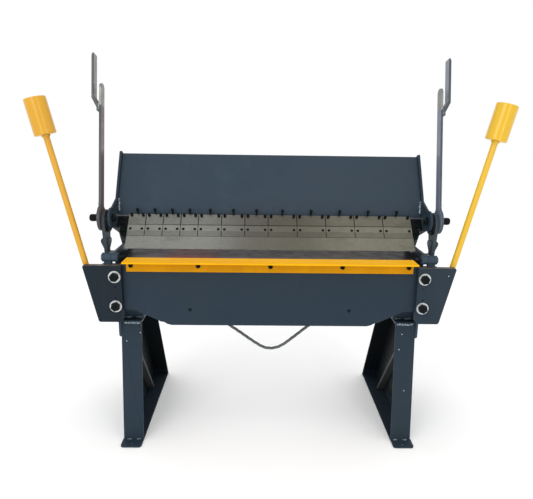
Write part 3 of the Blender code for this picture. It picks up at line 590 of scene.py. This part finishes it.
def soften(obj, width):
    """Round the edges of an object."""
    bevel = obj.modifiers.new("edges", "BEVEL")
    bevel.width = width
    bevel.segments = 2
    bevel.limit_method = "ANGLE"
    bevel.angle_limit = radians(40)


# ---------------------------------------------------------------- lifting rope
ROPE_DIAMETER = 0.013
ROPE_LAY = 0.090
ROPE_STRANDS = 3
ROPE_STEPS = 24
ROPE_Y = BEND.y + 0.121
# (x, height over the bend line), as in the model
ROPE_ROUTE = [
    (-0.352, -0.2130), (-0.352, -0.2220), (-0.349, -0.2330), (-0.337, -0.2450),
    (-0.310, -0.2605), (-0.272, -0.2825), (-0.222, -0.3140), (-0.172, -0.3475),
    (-0.127, -0.3790), (-0.086, -0.4090), (-0.054, -0.4310), (-0.025, -0.4477),
    (0.007, -0.4543), (0.039, -0.4492), (0.068, -0.4345), (0.098, -0.4110),
    (0.129, -0.3855), (0.173, -0.3490), (0.222, -0.3145), (0.272, -0.2830),
    (0.310, -0.2605), (0.337, -0.2450), (0.349, -0.2330), (0.352, -0.2220),
    (0.352, -0.2130),
]


def rope_line():
    """The rope's centreline, read from a smooth curve through the route."""
    curve = bpy.data.curves.new("rope_route", "CURVE")
    curve.dimensions = "3D"
    curve.resolution_u = 10
    guide = curve.splines.new("BEZIER")
    guide.bezier_points.add(len(ROPE_ROUTE) - 1)
    for point, (x, z) in zip(guide.bezier_points, ROPE_ROUTE):
        point.co = (x, ROPE_Y, BEND.z + z)
        point.handle_left_type = "AUTO"
        point.handle_right_type = "AUTO"
    holder = bpy.data.objects.new("rope_route", curve)
    bpy.context.scene.collection.objects.link(holder)
    sampled = bpy.data.meshes.new_from_object(holder.evaluated_get(bpy.context.evaluated_depsgraph_get()))
    line = [vertex.co.copy() for vertex in sampled.vertices]
    bpy.data.objects.remove(holder, do_unlink=True)
    bpy.data.meshes.remove(sampled)
    return line


def make_rope():
    """Laid rope: a section with one lobe for each strand, turned steadily along the line."""
    line = rope_line()
    travelled = 0.0
    rings = []
    for index, point in enumerate(line):
        before = line[max(0, index - 1)]
        after = line[min(len(line) - 1, index + 1)]
        travelled += (point - before).length
        ahead = (after - before).normalized()
        side = Vector((0, 1, 0))
        over = ahead.cross(side)
        ring = []
        for step in range(ROPE_STEPS):
            angle = 2 * pi * step / ROPE_STEPS
            lobe = abs(cos(ROPE_STRANDS / 2 * (angle - 2 * pi * travelled / ROPE_LAY)))
            radius = ROPE_DIAMETER / 2 * (0.76 + 0.28 * lobe ** 0.6)
            ring.append(point + radius * (cos(angle) * side + sin(angle) * over))
        rings.append(ring)
    mesh = bmesh.new()
    loft(mesh, rings)
    rope = piece("laid_rope", mesh, ROPE_WIRE, "frame", 80)
    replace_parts(rope, "lifting_rope")


# ---------------------------------------------------------------- fingers
def face_frame():
    """Frame on the open clamp's finger face: X along the bend, Y up the face, Z out of it."""
    y = NOSE[0] - (BEAM_PIVOT.y - BEND.y)
    z = NOSE[1] - (BEAM_PIVOT.z - BEND.z)
    turn = CLAMP_OPENING
    nose = BEAM_PIVOT + Vector((0, y * cos(turn) + z * sin(turn), z * cos(turn) - y * sin(turn)))
    lean = FINGER_LEAN + turn
    rows = (Vector((1, 0, 0)), Vector((0, sin(lean), cos(lean))), Vector((0, -cos(lean), sin(lean))))
    return Matrix.Translation(nose) @ Matrix(rows).transposed().to_4x4()


FACE = face_frame()
BAND_TOP = 0.0895
PLATE_FOOT = 0.1195
HOLE_ROW = 0.0985
PLATE_MARGIN = 0.0010
BURIED = -FINGER_STEP - 0.0004
SCREW_INSET = 0.0125
SCREW_LEAN = radians(22)


def on_face(x, up, out):
    return FACE @ Matrix.Translation((x, up, out))


def make_finger_details(number, node):
    """Clamp plate, toe band, cap screws, set screws and the black tightening screw of a finger."""
    low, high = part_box(node)
    left, right = low.x + PLATE_MARGIN, high.x - PLATE_MARGIN
    plates = bmesh.new()
    slab(plates, FACE, rectangle(left, right, PLATE_FOOT, FINGER_LENGTH - 0.0005), BURIED, 0.0016, 0.0008)
    band = rectangle(left, right, FINGER_NOSE_LENGTH + 0.0016, BAND_TOP)
    slab(plates, FACE, band, BURIED, -0.0008, 0.0006)
    piece("finger_%02d_clamp_plate" % number, plates, PLATE_STEEL, "clamping_beam")

    screws = bmesh.new()
    for x in (low.x + SCREW_INSET, high.x - SCREW_INSET):
        socket_head(screws, on_face(x, FINGER_LENGTH - 0.0070, 0.0014), 0.0064, 0.0085)
        lathe(screws, on_face(x, HOLE_ROW, BURIED),
              [(0.0062, 0), (0.0062, 0.0008), (0.0050, 0.0012), (0.0030, 0.0012), (0.0026, 0.0006)], 18)
    top = on_face((low.x + high.x) / 2, FINGER_LENGTH - 0.0006, -0.0075).translation
    lathe(screws, aim(top, (0, -sin(SCREW_LEAN), cos(SCREW_LEAN))),
          [(0.0060, 0), (0.0060, 0.0060), (0.0038, 0.0066), (0.0038, 0.0210), (0.0062, 0.0220),
           (0.0066, 0.0300), (0.0052, 0.0325)], 16)
    piece("finger_%02d_screws" % number, screws, BLACK_STEEL, "clamping_beam")


def make_seams(edges):
    """Painted shadow: black strips in the upper part of each joint between fingers and along the nose step.
    Plain nose steel at the nose.
    """
    dark, plain_steel = bmesh.new(), bmesh.new()
    left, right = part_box("finger_01")[0].x + PLATE_MARGIN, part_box("finger_12")[1].x - PLATE_MARGIN
    step = rectangle(left, right, FINGER_NOSE_LENGTH - 0.0002, FINGER_NOSE_LENGTH + 0.0018)
    slab(dark, FACE, step, -0.0060, -0.0012)
    for x in edges:
        seam = rectangle(x - 0.0011, x + 0.0011, FINGER_NOSE_LENGTH, FINGER_LENGTH - 0.001)
        slab(dark, FACE, seam, -0.0100, -FINGER_STEP + 0.0006, 0.0004)
        slab(plain_steel, FACE, rectangle(x - 0.0004, x + 0.0004, 0.0040, FINGER_NOSE_LENGTH), -0.0060, -0.0004)
    # the black strips are painted shadow in the joints and along the nose step
    piece("finger_seam_shadows", dark, BLACK_STEEL, "clamping_beam")
    piece("finger_seams_nose", plain_steel, NOSE_STEEL, "clamping_beam")


def make_fingers():
    nodes = sorted(name for name in NODES if name.startswith("finger_") and name != "finger_rail")
    for number, node in enumerate(nodes, start=1):
        wear(node, NOSE_STEEL, 0.0)
        make_finger_details(number, node)
    make_seams([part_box(node)[0].x - 0.0004 for node in nodes[1:]])


# ---------------------------------------------------------------- finishes of the model's own parts
def wear(node, material, edge):
    """Give a node of the model its finish, and a fine round on its edges."""
    obj = NODES[node]
    obj.data.materials.clear()
    obj.data.materials.append(material)
    if "custom_normal" in obj.data.attributes:
        obj.data.attributes.remove(obj.data.attributes["custom_normal"])
    obj.data.shade_smooth()
    weld = obj.modifiers.new("weld", "WELD")
    weld.merge_threshold = 0.00002
    flat = obj.modifiers.new("flat_faces", "DECIMATE")
    flat.decimate_type = "DISSOLVE"
    flat.angle_limit = radians(1)
    if edge:
        soften(obj, edge)
    even = obj.modifiers.new("even_shading", "WEIGHTED_NORMAL")
    even.keep_sharp = False
    even.weight = 90


# finish, rounding of the edges, and nodes; the second table's nodes come left and right
SINGLE_FINISHES = (
    (SLATE_PAINT, 0.0010, ("apron_plate", "bed_beam", "beam_stiffener")),
    (BLACK_STEEL, 0.0008, ("finger_rail",)),
    (SKY_LIT_PANEL_PAINT, 0.0012, ("clamp_panel",)),
    (ANGLE_PAINT, 0.0010, ("folding_angle",)),
    (BED_STEEL, 0.0006, ("bed_plate",)),
)
PAIRED_FINISHES = (
    (SLATE_PAINT, 0.0010, ("beam_end_plate",)),
    (HINGE_PAINT, 0.0010, ("side_frame", "hinge_arm")),
    (LINK_PAINT, 0.0010, ("clamp_link",)),
    (BRACE_PAINT, 0.0010, ("stand_brace",)),
    (YELLOW_PAINT, 0.0008, ("counterweight_arm", "counterweight")),
    (BLACK_STEEL, 0.0006, ("apron_stop", "eccentric", "eccentric_shaft")),
    (BARE_STEEL, 0.0006, ("beam_pivot_pin", "hinge_pin", "link_pin")),
    (ZINC, 0.0004, ("rope_anchor",)),
)


def dress_nodes():
    for material, edge, nodes in SINGLE_FINISHES:
        for node in nodes:
            wear(node, material, edge)
    for word, side in SIDES:
        for material, edge, nodes in PAIRED_FINISHES:
            for node in nodes:
                wear("%s_%s" % (word, node), material, edge)
        wear(word + "_stand", stand_enamel(word, side), 0.0010)
        wear(word + "_ear", ear_enamel(word), 0.0008)
        wear(word + "_clamp_lever", lever_enamel(word, side), 0.0010)
        wear(word + "_lever_grip", grip_steel(word), 0.0006)


# ---------------------------------------------------------------- bolts and welds of the apron
APRON_BACK = BEND.y - 0.0007
APRON_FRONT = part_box("apron_plate")[0].y
HINGE_ARM_BACK = BEND.y + 0.0100
ANGLE_LEG_FRONT = BEND.y - 0.0180
ANGLE_SCREWS_X = (-0.578, -0.300, 0.0, 0.300, 0.578)
ANGLE_SCREWS_DOWN = 0.0300
PLUG_X = 0.338
PLUG_DOWN = 0.224
REAR_WELDS_X = 0.6265
REAR_WELDS_DOWN = (0.060, 0.130, 0.200)
EAR_BOLT_TURNS = {"upper": radians(12), "lower": radians(40)}
WASHER_THICK = 0.0034
HEAD_HEIGHT = 0.0130


def make_ear_bolts(word, side):
    """Zinc washers and black hexagon bolts through each ear."""
    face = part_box(word + "_ear")[0].y
    for level, angle in EAR_BOLT_TURNS.items():
        node = "%s_%s_ear_bolt" % (word, level)
        low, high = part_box(node)
        x, z = (low.x + high.x) / 2, (low.z + high.z) / 2
        front = aim((x, face - HAIR, z), (0, -1, 0))
        washer = bmesh.new()
        lathe(washer, front, [(0.0255, 0), (0.0255, 0.0030), (0.0247, 0.0040), (0.0190, 0.0040),
                              (0.0186, 0.0032)], 40)
        piece(node + "_washer", washer, ZINC, "apron")
        bolt = bmesh.new()
        turn = angle * side
        hexagon_head(bolt, lifted(front, WASHER_THICK), 0.0198, HEAD_HEIGHT, turn)
        lathe(bolt, lifted(front, WASHER_THICK + HEAD_HEIGHT - 0.0004),
              [(0.0140, 0), (0.0135, 0.0010), (0.0100, 0.0014)])
        hexagon_head(bolt, aim((x, HINGE_ARM_BACK, z), (0, 1, 0)), 0.0160, 0.0078, turn)
        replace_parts(piece(node + "_set", bolt, BLACK_STEEL, "apron", 30), node)


def make_apron_details():
    """Screws of the folding angle, plugs in the apron's two holes, and the welds behind it."""
    screws = bmesh.new()
    for x in ANGLE_SCREWS_X:
        place = (x, ANGLE_LEG_FRONT, BEND.z - ANGLE_SCREWS_DOWN)
        socket_head(screws, aim(place, (0, -1, 0)), 0.0092, 0.0060)
    piece("folding_angle_screws", screws, BLACK_STEEL, "apron")
    plugs = bmesh.new()
    for side in (-1, 1):
        place = (side * PLUG_X, APRON_FRONT + HAIR, BEND.z - PLUG_DOWN)
        lathe(plugs, aim(place, (0, -1, 0)),
              [(0.0072, 0), (0.0072, 0.0008), (0.0064, 0.0013), (0.0050, 0.0013), (0.0046, 0.0005)])
    piece("apron_hole_plugs", plugs, BLACK_STEEL, "apron")
    welds = bmesh.new()
    for side in (-1, 1):
        for down in REAR_WELDS_DOWN:
            top = Vector((side * REAR_WELDS_X, APRON_BACK + 0.0008, BEND.z - down))
            bead(welds, top, top - Vector((0, 0, 0.030)), 0.0030)
    piece("apron_rear_welds", welds, WELD, "apron")


ARM_LEAN = radians(13.2)
ARM_LENGTH = 0.726
ARM_WELD_STARTS = (0.020, 0.095, 0.165)


def make_arm_details(word, side):
    """Welds between arm and ear, and the collar under the counterweight."""
    low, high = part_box(word + "_counterweight_arm")
    direction = Vector((side * sin(ARM_LEAN), 0, cos(ARM_LEAN)))
    foot = (low + high) / 2 - direction * ARM_LENGTH / 2
    across = Vector((-side * direction.z, 0, direction.x * side))
    welds = bmesh.new()
    for start in ARM_WELD_STARTS:
        place = foot + across * 0.0125 + direction * start + Vector((0, -0.0090, 0))
        bead(welds, place, place + direction * 0.026, 0.0030)
    piece(word + "_arm_welds", welds, YELLOW_WELD, "apron")
    collar = bmesh.new()
    lathe(collar, aim(foot + direction * (ARM_LENGTH - 0.010), direction),
          [(0.0127, 0), (0.0150, 0.0030), (0.0175, 0.0070), (0.0182, 0.0102)], 28)
    piece(word + "_weight_collar", collar, YELLOW_PAINT, "apron")


# ---------------------------------------------------------------- clamping beam
def opened(y, z):
    """Where a point of the closed beam's section, given from the bend line, is on the open beam."""
    dy = BEND.y + y - BEAM_PIVOT.y
    dz = BEND.z + z - BEAM_PIVOT.z
    turn = CLAMP_OPENING
    return BEAM_PIVOT.y + dy * cos(turn) + dz * sin(turn), BEAM_PIVOT.z + dz * cos(turn) - dy * sin(turn)


END_BOLTS_Y = 0.186
END_BOLT_HEIGHTS = (0.192, 0.220)
HOLDER_BOLTS_X = 0.6350
HOLDER_BOLTS_UP = (0.131, 0.156)


def make_beam_details():
    """Weld beads behind the panel, and the bolts through and beside the end plates."""
    welds = bmesh.new()
    bolts = bmesh.new()
    for word, side in SIDES:
        faces = [corner.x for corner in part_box(word + "_beam_end_plate")]
        inner, outer = sorted(faces, key=abs)
        x = inner - side * 0.0030
        bead(welds, (x, *opened(0.1168, 0.150)), (x, *opened(0.1205, 0.205)), 0.0060)
        for height in END_BOLT_HEIGHTS:
            place = aim((outer + side * HAIR, *opened(END_BOLTS_Y, height)), (side, 0, 0))
            washer_disc(bolts, place, 0.0115, 0.0020)
            hexagon_head(bolts, lifted(place, 0.0020), 0.0088, 0.0060)
        nut = aim((outer + side * 0.0024, BEAM_PIVOT.y, BEAM_PIVOT.z), (side, 0, 0))
        hexagon_head(bolts, nut, 0.0165, 0.0100, 0.3)
        for up in HOLDER_BOLTS_UP:
            hexagon_head(bolts, on_face(side * HOLDER_BOLTS_X, up, -0.0140), 0.0080, 0.0055, 0.4)
    y, z = opened(0.1602, 0.2320)
    for index in range(9):
        x = -0.560 + index * 0.140
        bead(welds, (x - 0.020, y, z), (x + 0.020, y, z), 0.0032)
    piece("beam_welds", welds, WELD, "clamping_beam")
    piece("beam_bolts", bolts, BLACK_STEEL, "clamping_beam", 30)


# (x, height up the fingers' face)
HOOK_OUTLINE = ((0.6172, 0.112), (0.6440, 0.112), (0.6440, 0.090), (0.632, 0.066), (0.6172, 0.060))
HOOK_BACK = -0.0300
HOOK_FRONT = -0.0130
HOOK_BOLT_X = 0.6310
HOOK_BOLT_UP = 0.0960


def make_rail_hooks():
    """Dark hook and its bolt beside the outermost finger, at each end of the holder."""
    for word, side in SIDES:
        hook = bmesh.new()
        slab(hook, FACE, [(side * x, up) for x, up in HOOK_OUTLINE], HOOK_BACK, HOOK_FRONT)
        bolt = on_face(side * HOOK_BOLT_X, HOOK_BOLT_UP, HOOK_FRONT)
        hexagon_head(hook, bolt, 0.0105, 0.0070, 0.2)
        lathe(hook, lifted(bolt, 0.0068), [(0.0060, 0), (0.0056, 0.0030)], 16)
        soften(piece(word + "_holder_hook", hook, BLACK_STEEL, "clamping_beam", 30), 0.0010)


# ---------------------------------------------------------------- clamp levers and links
def lever_frame(word, side):
    """Frame on a lever's hub: X outwards from the machine's middle, Y across the bar, Z up it."""
    hub = lever_hub(word)
    rows = (Vector((side, 0, 0)), Vector((0, cos(LEVER_LEAN), -sin(LEVER_LEAN))),
            Vector((0, sin(LEVER_LEAN), cos(LEVER_LEAN))))
    return Matrix.Translation((0, hub.y, hub.z)) @ Matrix(rows).transposed().to_4x4()


def turned_out(base, x):
    """Frame on the hub's axis with its Z axis pointing outwards along X."""
    return base @ Matrix.Translation((x, 0, 0)) @ Matrix.Rotation(pi / 2, 4, "Y")


# welds on a lever's outer face: x past the face, both ends (across, up), and radius
LEVER_WELDS = (
    (0.0010, (-0.02236, 0.440), (-0.02236, 0.470), 0.0026),
    (0.0010, (0.02236, 0.440), (0.02236, 0.470), 0.0026),
    (0.0020, (-0.0175, 0.4375), (0.0175, 0.4375), 0.0030),
    (-0.0010, (-0.02295, 0.048), (-0.02295, 0.068), 0.0024),
    (-0.0010, (0.02295, 0.048), (0.02295, 0.068), 0.0024),
)


def make_lever_details(word, side):
    """Hub plate, nut with the end of the shaft, and welds of a clamp lever."""
    base = lever_frame(word, side)
    body = word + "_lever"
    outer = max(abs(corner.x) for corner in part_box(word + "_clamp_lever"))
    paint = NODES[word + "_clamp_lever"].data.materials[0]
    plate = bmesh.new()
    lathe(plate, turned_out(base, outer + HAIR),
          [(0.0370, 0), (0.0370, 0.0035), (0.0355, 0.0050), (0.0160, 0.0050), (0.0155, 0.0010)], 40)
    piece(word + "_hub_plate", plate, paint, body)
    nut = bmesh.new()
    hexagon_head(nut, turned_out(base, outer + 0.0090), 0.0172, 0.0080, 0.25)
    lathe(nut, turned_out(base, outer + 0.0170), [(0.0140, 0), (0.0150, 0.0040), (0.0155, 0.0120),
                                                  (0.0148, 0.0200), (0.0118, 0.0240), (0.0060, 0.0262)], 28)
    piece(word + "_hub_nut", nut, BLACK_STEEL, body, 30)
    welds = bmesh.new()
    for out, start, end, radius in LEVER_WELDS:
        bead(welds, base @ Vector((outer + out, *start)), base @ Vector((outer + out, *end)), radius)
    piece(word + "_lever_welds", welds, WELD, body)


LINK_RIM_RADII = (0.0350, 0.0465)
LINK_RIM_DEPTH = 0.0110
LINK_RIM_STEPS = 40
LINK_WEDGE_Y = BEND.y + 0.0555
# height over the bend line, nearest and furthest |x|, half depth
LINK_WEDGE = (
    (0.0180, 0.6830, 0.6998, 0.0100), (0.0360, 0.6788, 0.7058, 0.0140), (0.0540, 0.6752, 0.7122, 0.0180),
    (0.0620, 0.6748, 0.7124, 0.0185), (0.0690, 0.6768, 0.7084, 0.0180), (0.0740, 0.6812, 0.7020, 0.0160),
)


def make_link_details(word, side):
    """Thick rim on the inner side of each link's eye, and the wedge that stiffens its lower end."""
    eye = Vector(JOINTS[word + "_link_swing"]["pos_m"])
    start = min(abs(corner.x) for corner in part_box(word + "_clamp_link")) - LINK_RIM_DEPTH
    bore, edge = LINK_RIM_RADII
    depth = LINK_RIM_DEPTH - HAIR
    rings = []
    for radius, along in ((edge - 0.0015, 0), (edge, 0.0015), (edge, depth), (bore, depth), (bore, 0)):
        angles = (2 * pi * step / LINK_RIM_STEPS for step in range(LINK_RIM_STEPS))
        rings.append([Vector((side * (start + along), eye.y + radius * cos(a), eye.z + radius * sin(a)))
                      for a in angles])
    rim = bmesh.new()
    loft(rim, rings, hollow=True)
    piece(word + "_link_rim", rim, BLACK_STEEL, word + "_link")

    rings = []
    for height, near, far, half in LINK_WEDGE:
        corners = [(near, -half), (far, -half), (far, half), (near, half)]
        rings.append([Vector((side * x, LINK_WEDGE_Y + y, BEND.z + height)) for x, y in corners])
    wedge = bmesh.new()
    loft(wedge, rings)
    soften(piece(word + "_link_wedge", wedge, LINK_PAINT, word + "_link", 30), 0.0015)


# ---------------------------------------------------------------- bed, stands and side frames
BED_SCREWS_IN = 0.030
STUD = [(0.0024, 0), (0.0022, 0.0008), (0.0012, 0.0012)]
# (x from the web's side of the front flange, height)
STUD_PLACES = {
    "left": ((0.066, 0.462), (0.006, 0.500)),
    "right": ((0.030, 0.500), (0.020, 0.430), (0.050, 0.240)),
}
FLANGE_INNER = STAND_WEB - STAND_FLANGE
SEAT_FRONT = BEND.y + 0.0555
SEAT_UPRIGHT = BEND.y + 0.0985
FRAME_BOLTS_Y = (0.095, 0.195, 0.295)
FRAME_BOLTS_DOWN = 0.034


def make_bed_details():
    """Sunk screws along the rear edge of the bed plate."""
    screws = bmesh.new()
    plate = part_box("bed_plate")[1]
    for index in range(8):
        place = (-0.560 + index * 0.160, plate.y - BED_SCREWS_IN, plate.z - 0.0006)
        lathe(screws, aim(place, (0, 0, 1)),
              [(0.0095, 0), (0.0095, 0.0005), (0.0088, 0.0008), (0.0046, 0.0008), (0.0042, 0.0003)])
    piece("bed_plate_screws", screws, BLACK_STEEL, "frame")


def flange_front(height):
    """Y of the front flange's face at a height."""
    return BEND.y + STAND_FRONT_FOOT + height * tan(STAND_FRONT_SLOPE)


def make_stand_welds(word, side):
    """Welds on top of the front flange, at the seat, on the foot tab and at the brace's foot."""
    welds = bmesh.new()

    def across(start, end, y, z, radius, rise=0.0):
        """A bead along X. Its start may sit a little higher or lower than its end."""
        bead(welds, (side * start, y, z + rise), (side * end, y, z), radius)

    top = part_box(word + "_stand")[1].z
    for start, end in ((0.004, 0.030), (0.022, 0.052), (0.047, 0.078)):
        rise = 0.0015 * noise.noise(Vector((start * 90, side, 0))) - 0.0012
        across(FLANGE_INNER + start, FLANGE_INNER + end, SEAT_FRONT, top + 0.0022, 0.0058, rise)
    for start, end in ((0.006, 0.034), (0.050, 0.082)):
        across(FLANGE_INNER + start, FLANGE_INNER + end, SEAT_UPRIGHT, top + 0.0125, 0.0040)
    for start, end in ((0.012, 0.030), (0.054, 0.072)):
        across(FLANGE_INNER + start, FLANGE_INNER + end, flange_front(0.008) - 0.0010, 0.0088, 0.0034)
    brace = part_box(word + "_stand_brace")
    inner = min(abs(corner.x) for corner in brace)
    across(inner + 0.002, inner + 0.030, brace[1].y + 0.001, 0.0095, 0.0034)
    piece(word + "_stand_welds", welds, WELD, "frame")


def make_frame_bolts(word, side):
    """Bolts that hold a side frame to its stand."""
    outer = side * max(abs(corner.x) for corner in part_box(word + "_side_frame"))
    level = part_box(word + "_stand")[1].z - FRAME_BOLTS_DOWN
    bolts = bmesh.new()
    for y in FRAME_BOLTS_Y:
        place = aim((outer + side * HAIR, BEND.y + y, level), (side, 0, 0))
        washer_disc(bolts, place, 0.0150, 0.0025)
        hexagon_head(bolts, lifted(place, 0.0025), 0.0112, 0.0075, y)
    piece(word + "_frame_bolts", bolts, BLACK_STEEL, "frame", 30)


def make_stand_studs(word, side):
    """Small bright rivets on the front flange."""
    studs = bmesh.new()
    for x, height in STUD_PLACES[word]:
        place = (side * (FLANGE_INNER + x), flange_front(height) - HAIR, height)
        lathe(studs, aim(place, (0, -cos(STAND_FRONT_SLOPE), sin(STAND_FRONT_SLOPE))), STUD, 14)
    piece(word + "_stand_studs", studs, ZINC, "frame")


def make_ear_stud():
    """Small bright rivet near the edge of the right ear."""
    stud = bmesh.new()
    place = (0.742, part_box("right_ear")[0].y - HAIR, BEND.z - 0.060)
    lathe(stud, aim(place, (0, -1, 0)), STUD, 14)
    piece("right_ear_stud", stud, ZINC, "apron")


def make_anchor_nuts():
    """A nut round each rope anchor, right under the bed beam."""
    for word, side in SIDES:
        low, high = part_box(word + "_rope_anchor")
        place = aim(((low.x + high.x) / 2, (low.y + high.y) / 2, high.z - 0.0012), (0, 0, -1))
        nut = bmesh.new()
        hexagon_head(nut, place, 0.0175, 0.0080, 0.2 * side)
        piece(word + "_anchor_nut", nut, ZINC, "frame", 30)


# ---------------------------------------------------------------- floor and light
def make_stage():
    bpy.ops.mesh.primitive_circle_add(vertices=96, radius=30, fill_type="NGON")
    floor = bpy.context.object
    floor.name = "studio_floor"
    floor.data.materials.append(studio_floor("floor_finish"))


def area_light(name, place, target, size, power, colour=(1, 1, 1)):
    """A rectangular lamp at a place, turned towards a target."""
    light = bpy.data.lights.new(name, "AREA")
    light.shape = "RECTANGLE"
    light.size, light.size_y = size
    light.energy = power
    light.color = colour
    lamp = bpy.data.objects.new(name, light)
    lamp.matrix_world = aim(place, Vector(place) - Vector(target))
    bpy.context.scene.collection.objects.link(lamp)


def make_light():
    world = bpy.data.worlds.new("studio")
    world.use_nodes = True
    world.node_tree.nodes["Background"].inputs["Color"].default_value = (1, 1, 1, 1)
    world.node_tree.nodes["Background"].inputs["Strength"].default_value = 1.0
    bpy.context.scene.world = world
    area_light("overhead", (0, -0.6, 3.6), (0, -0.1, 0.9), (3.2, 2.2), 10)
    area_light("key", (-2.2, -3.2, 2.8), (0, -0.2, 0.9), (1.4, 1.8), 22, (1, 0.98, 0.95))
    area_light("strip_left", (-1.3, -3.4, 1.9), (-0.9, -0.3, 1.4), (0.22, 2.4), 12)
    area_light("strip_right", (1.5, -3.2, 1.9), (0.9, -0.3, 1.3), (0.22, 2.4), 12)
    bpy.context.scene.view_settings.view_transform = "Standard"


# ---------------------------------------------------------------- assembly
def build():
    make_camera()
    make_rope()
    dress_nodes()
    make_fingers()
    make_apron_details()
    make_beam_details()
    make_rail_hooks()
    make_bed_details()
    make_ear_stud()
    make_anchor_nuts()
    for word, side in SIDES:
        make_ear_bolts(word, side)
        make_arm_details(word, side)
        make_lever_details(word, side)
        make_link_details(word, side)
        make_stand_welds(word, side)
        make_frame_bolts(word, side)
        make_stand_studs(word, side)
    make_stage()
    make_light()


build()
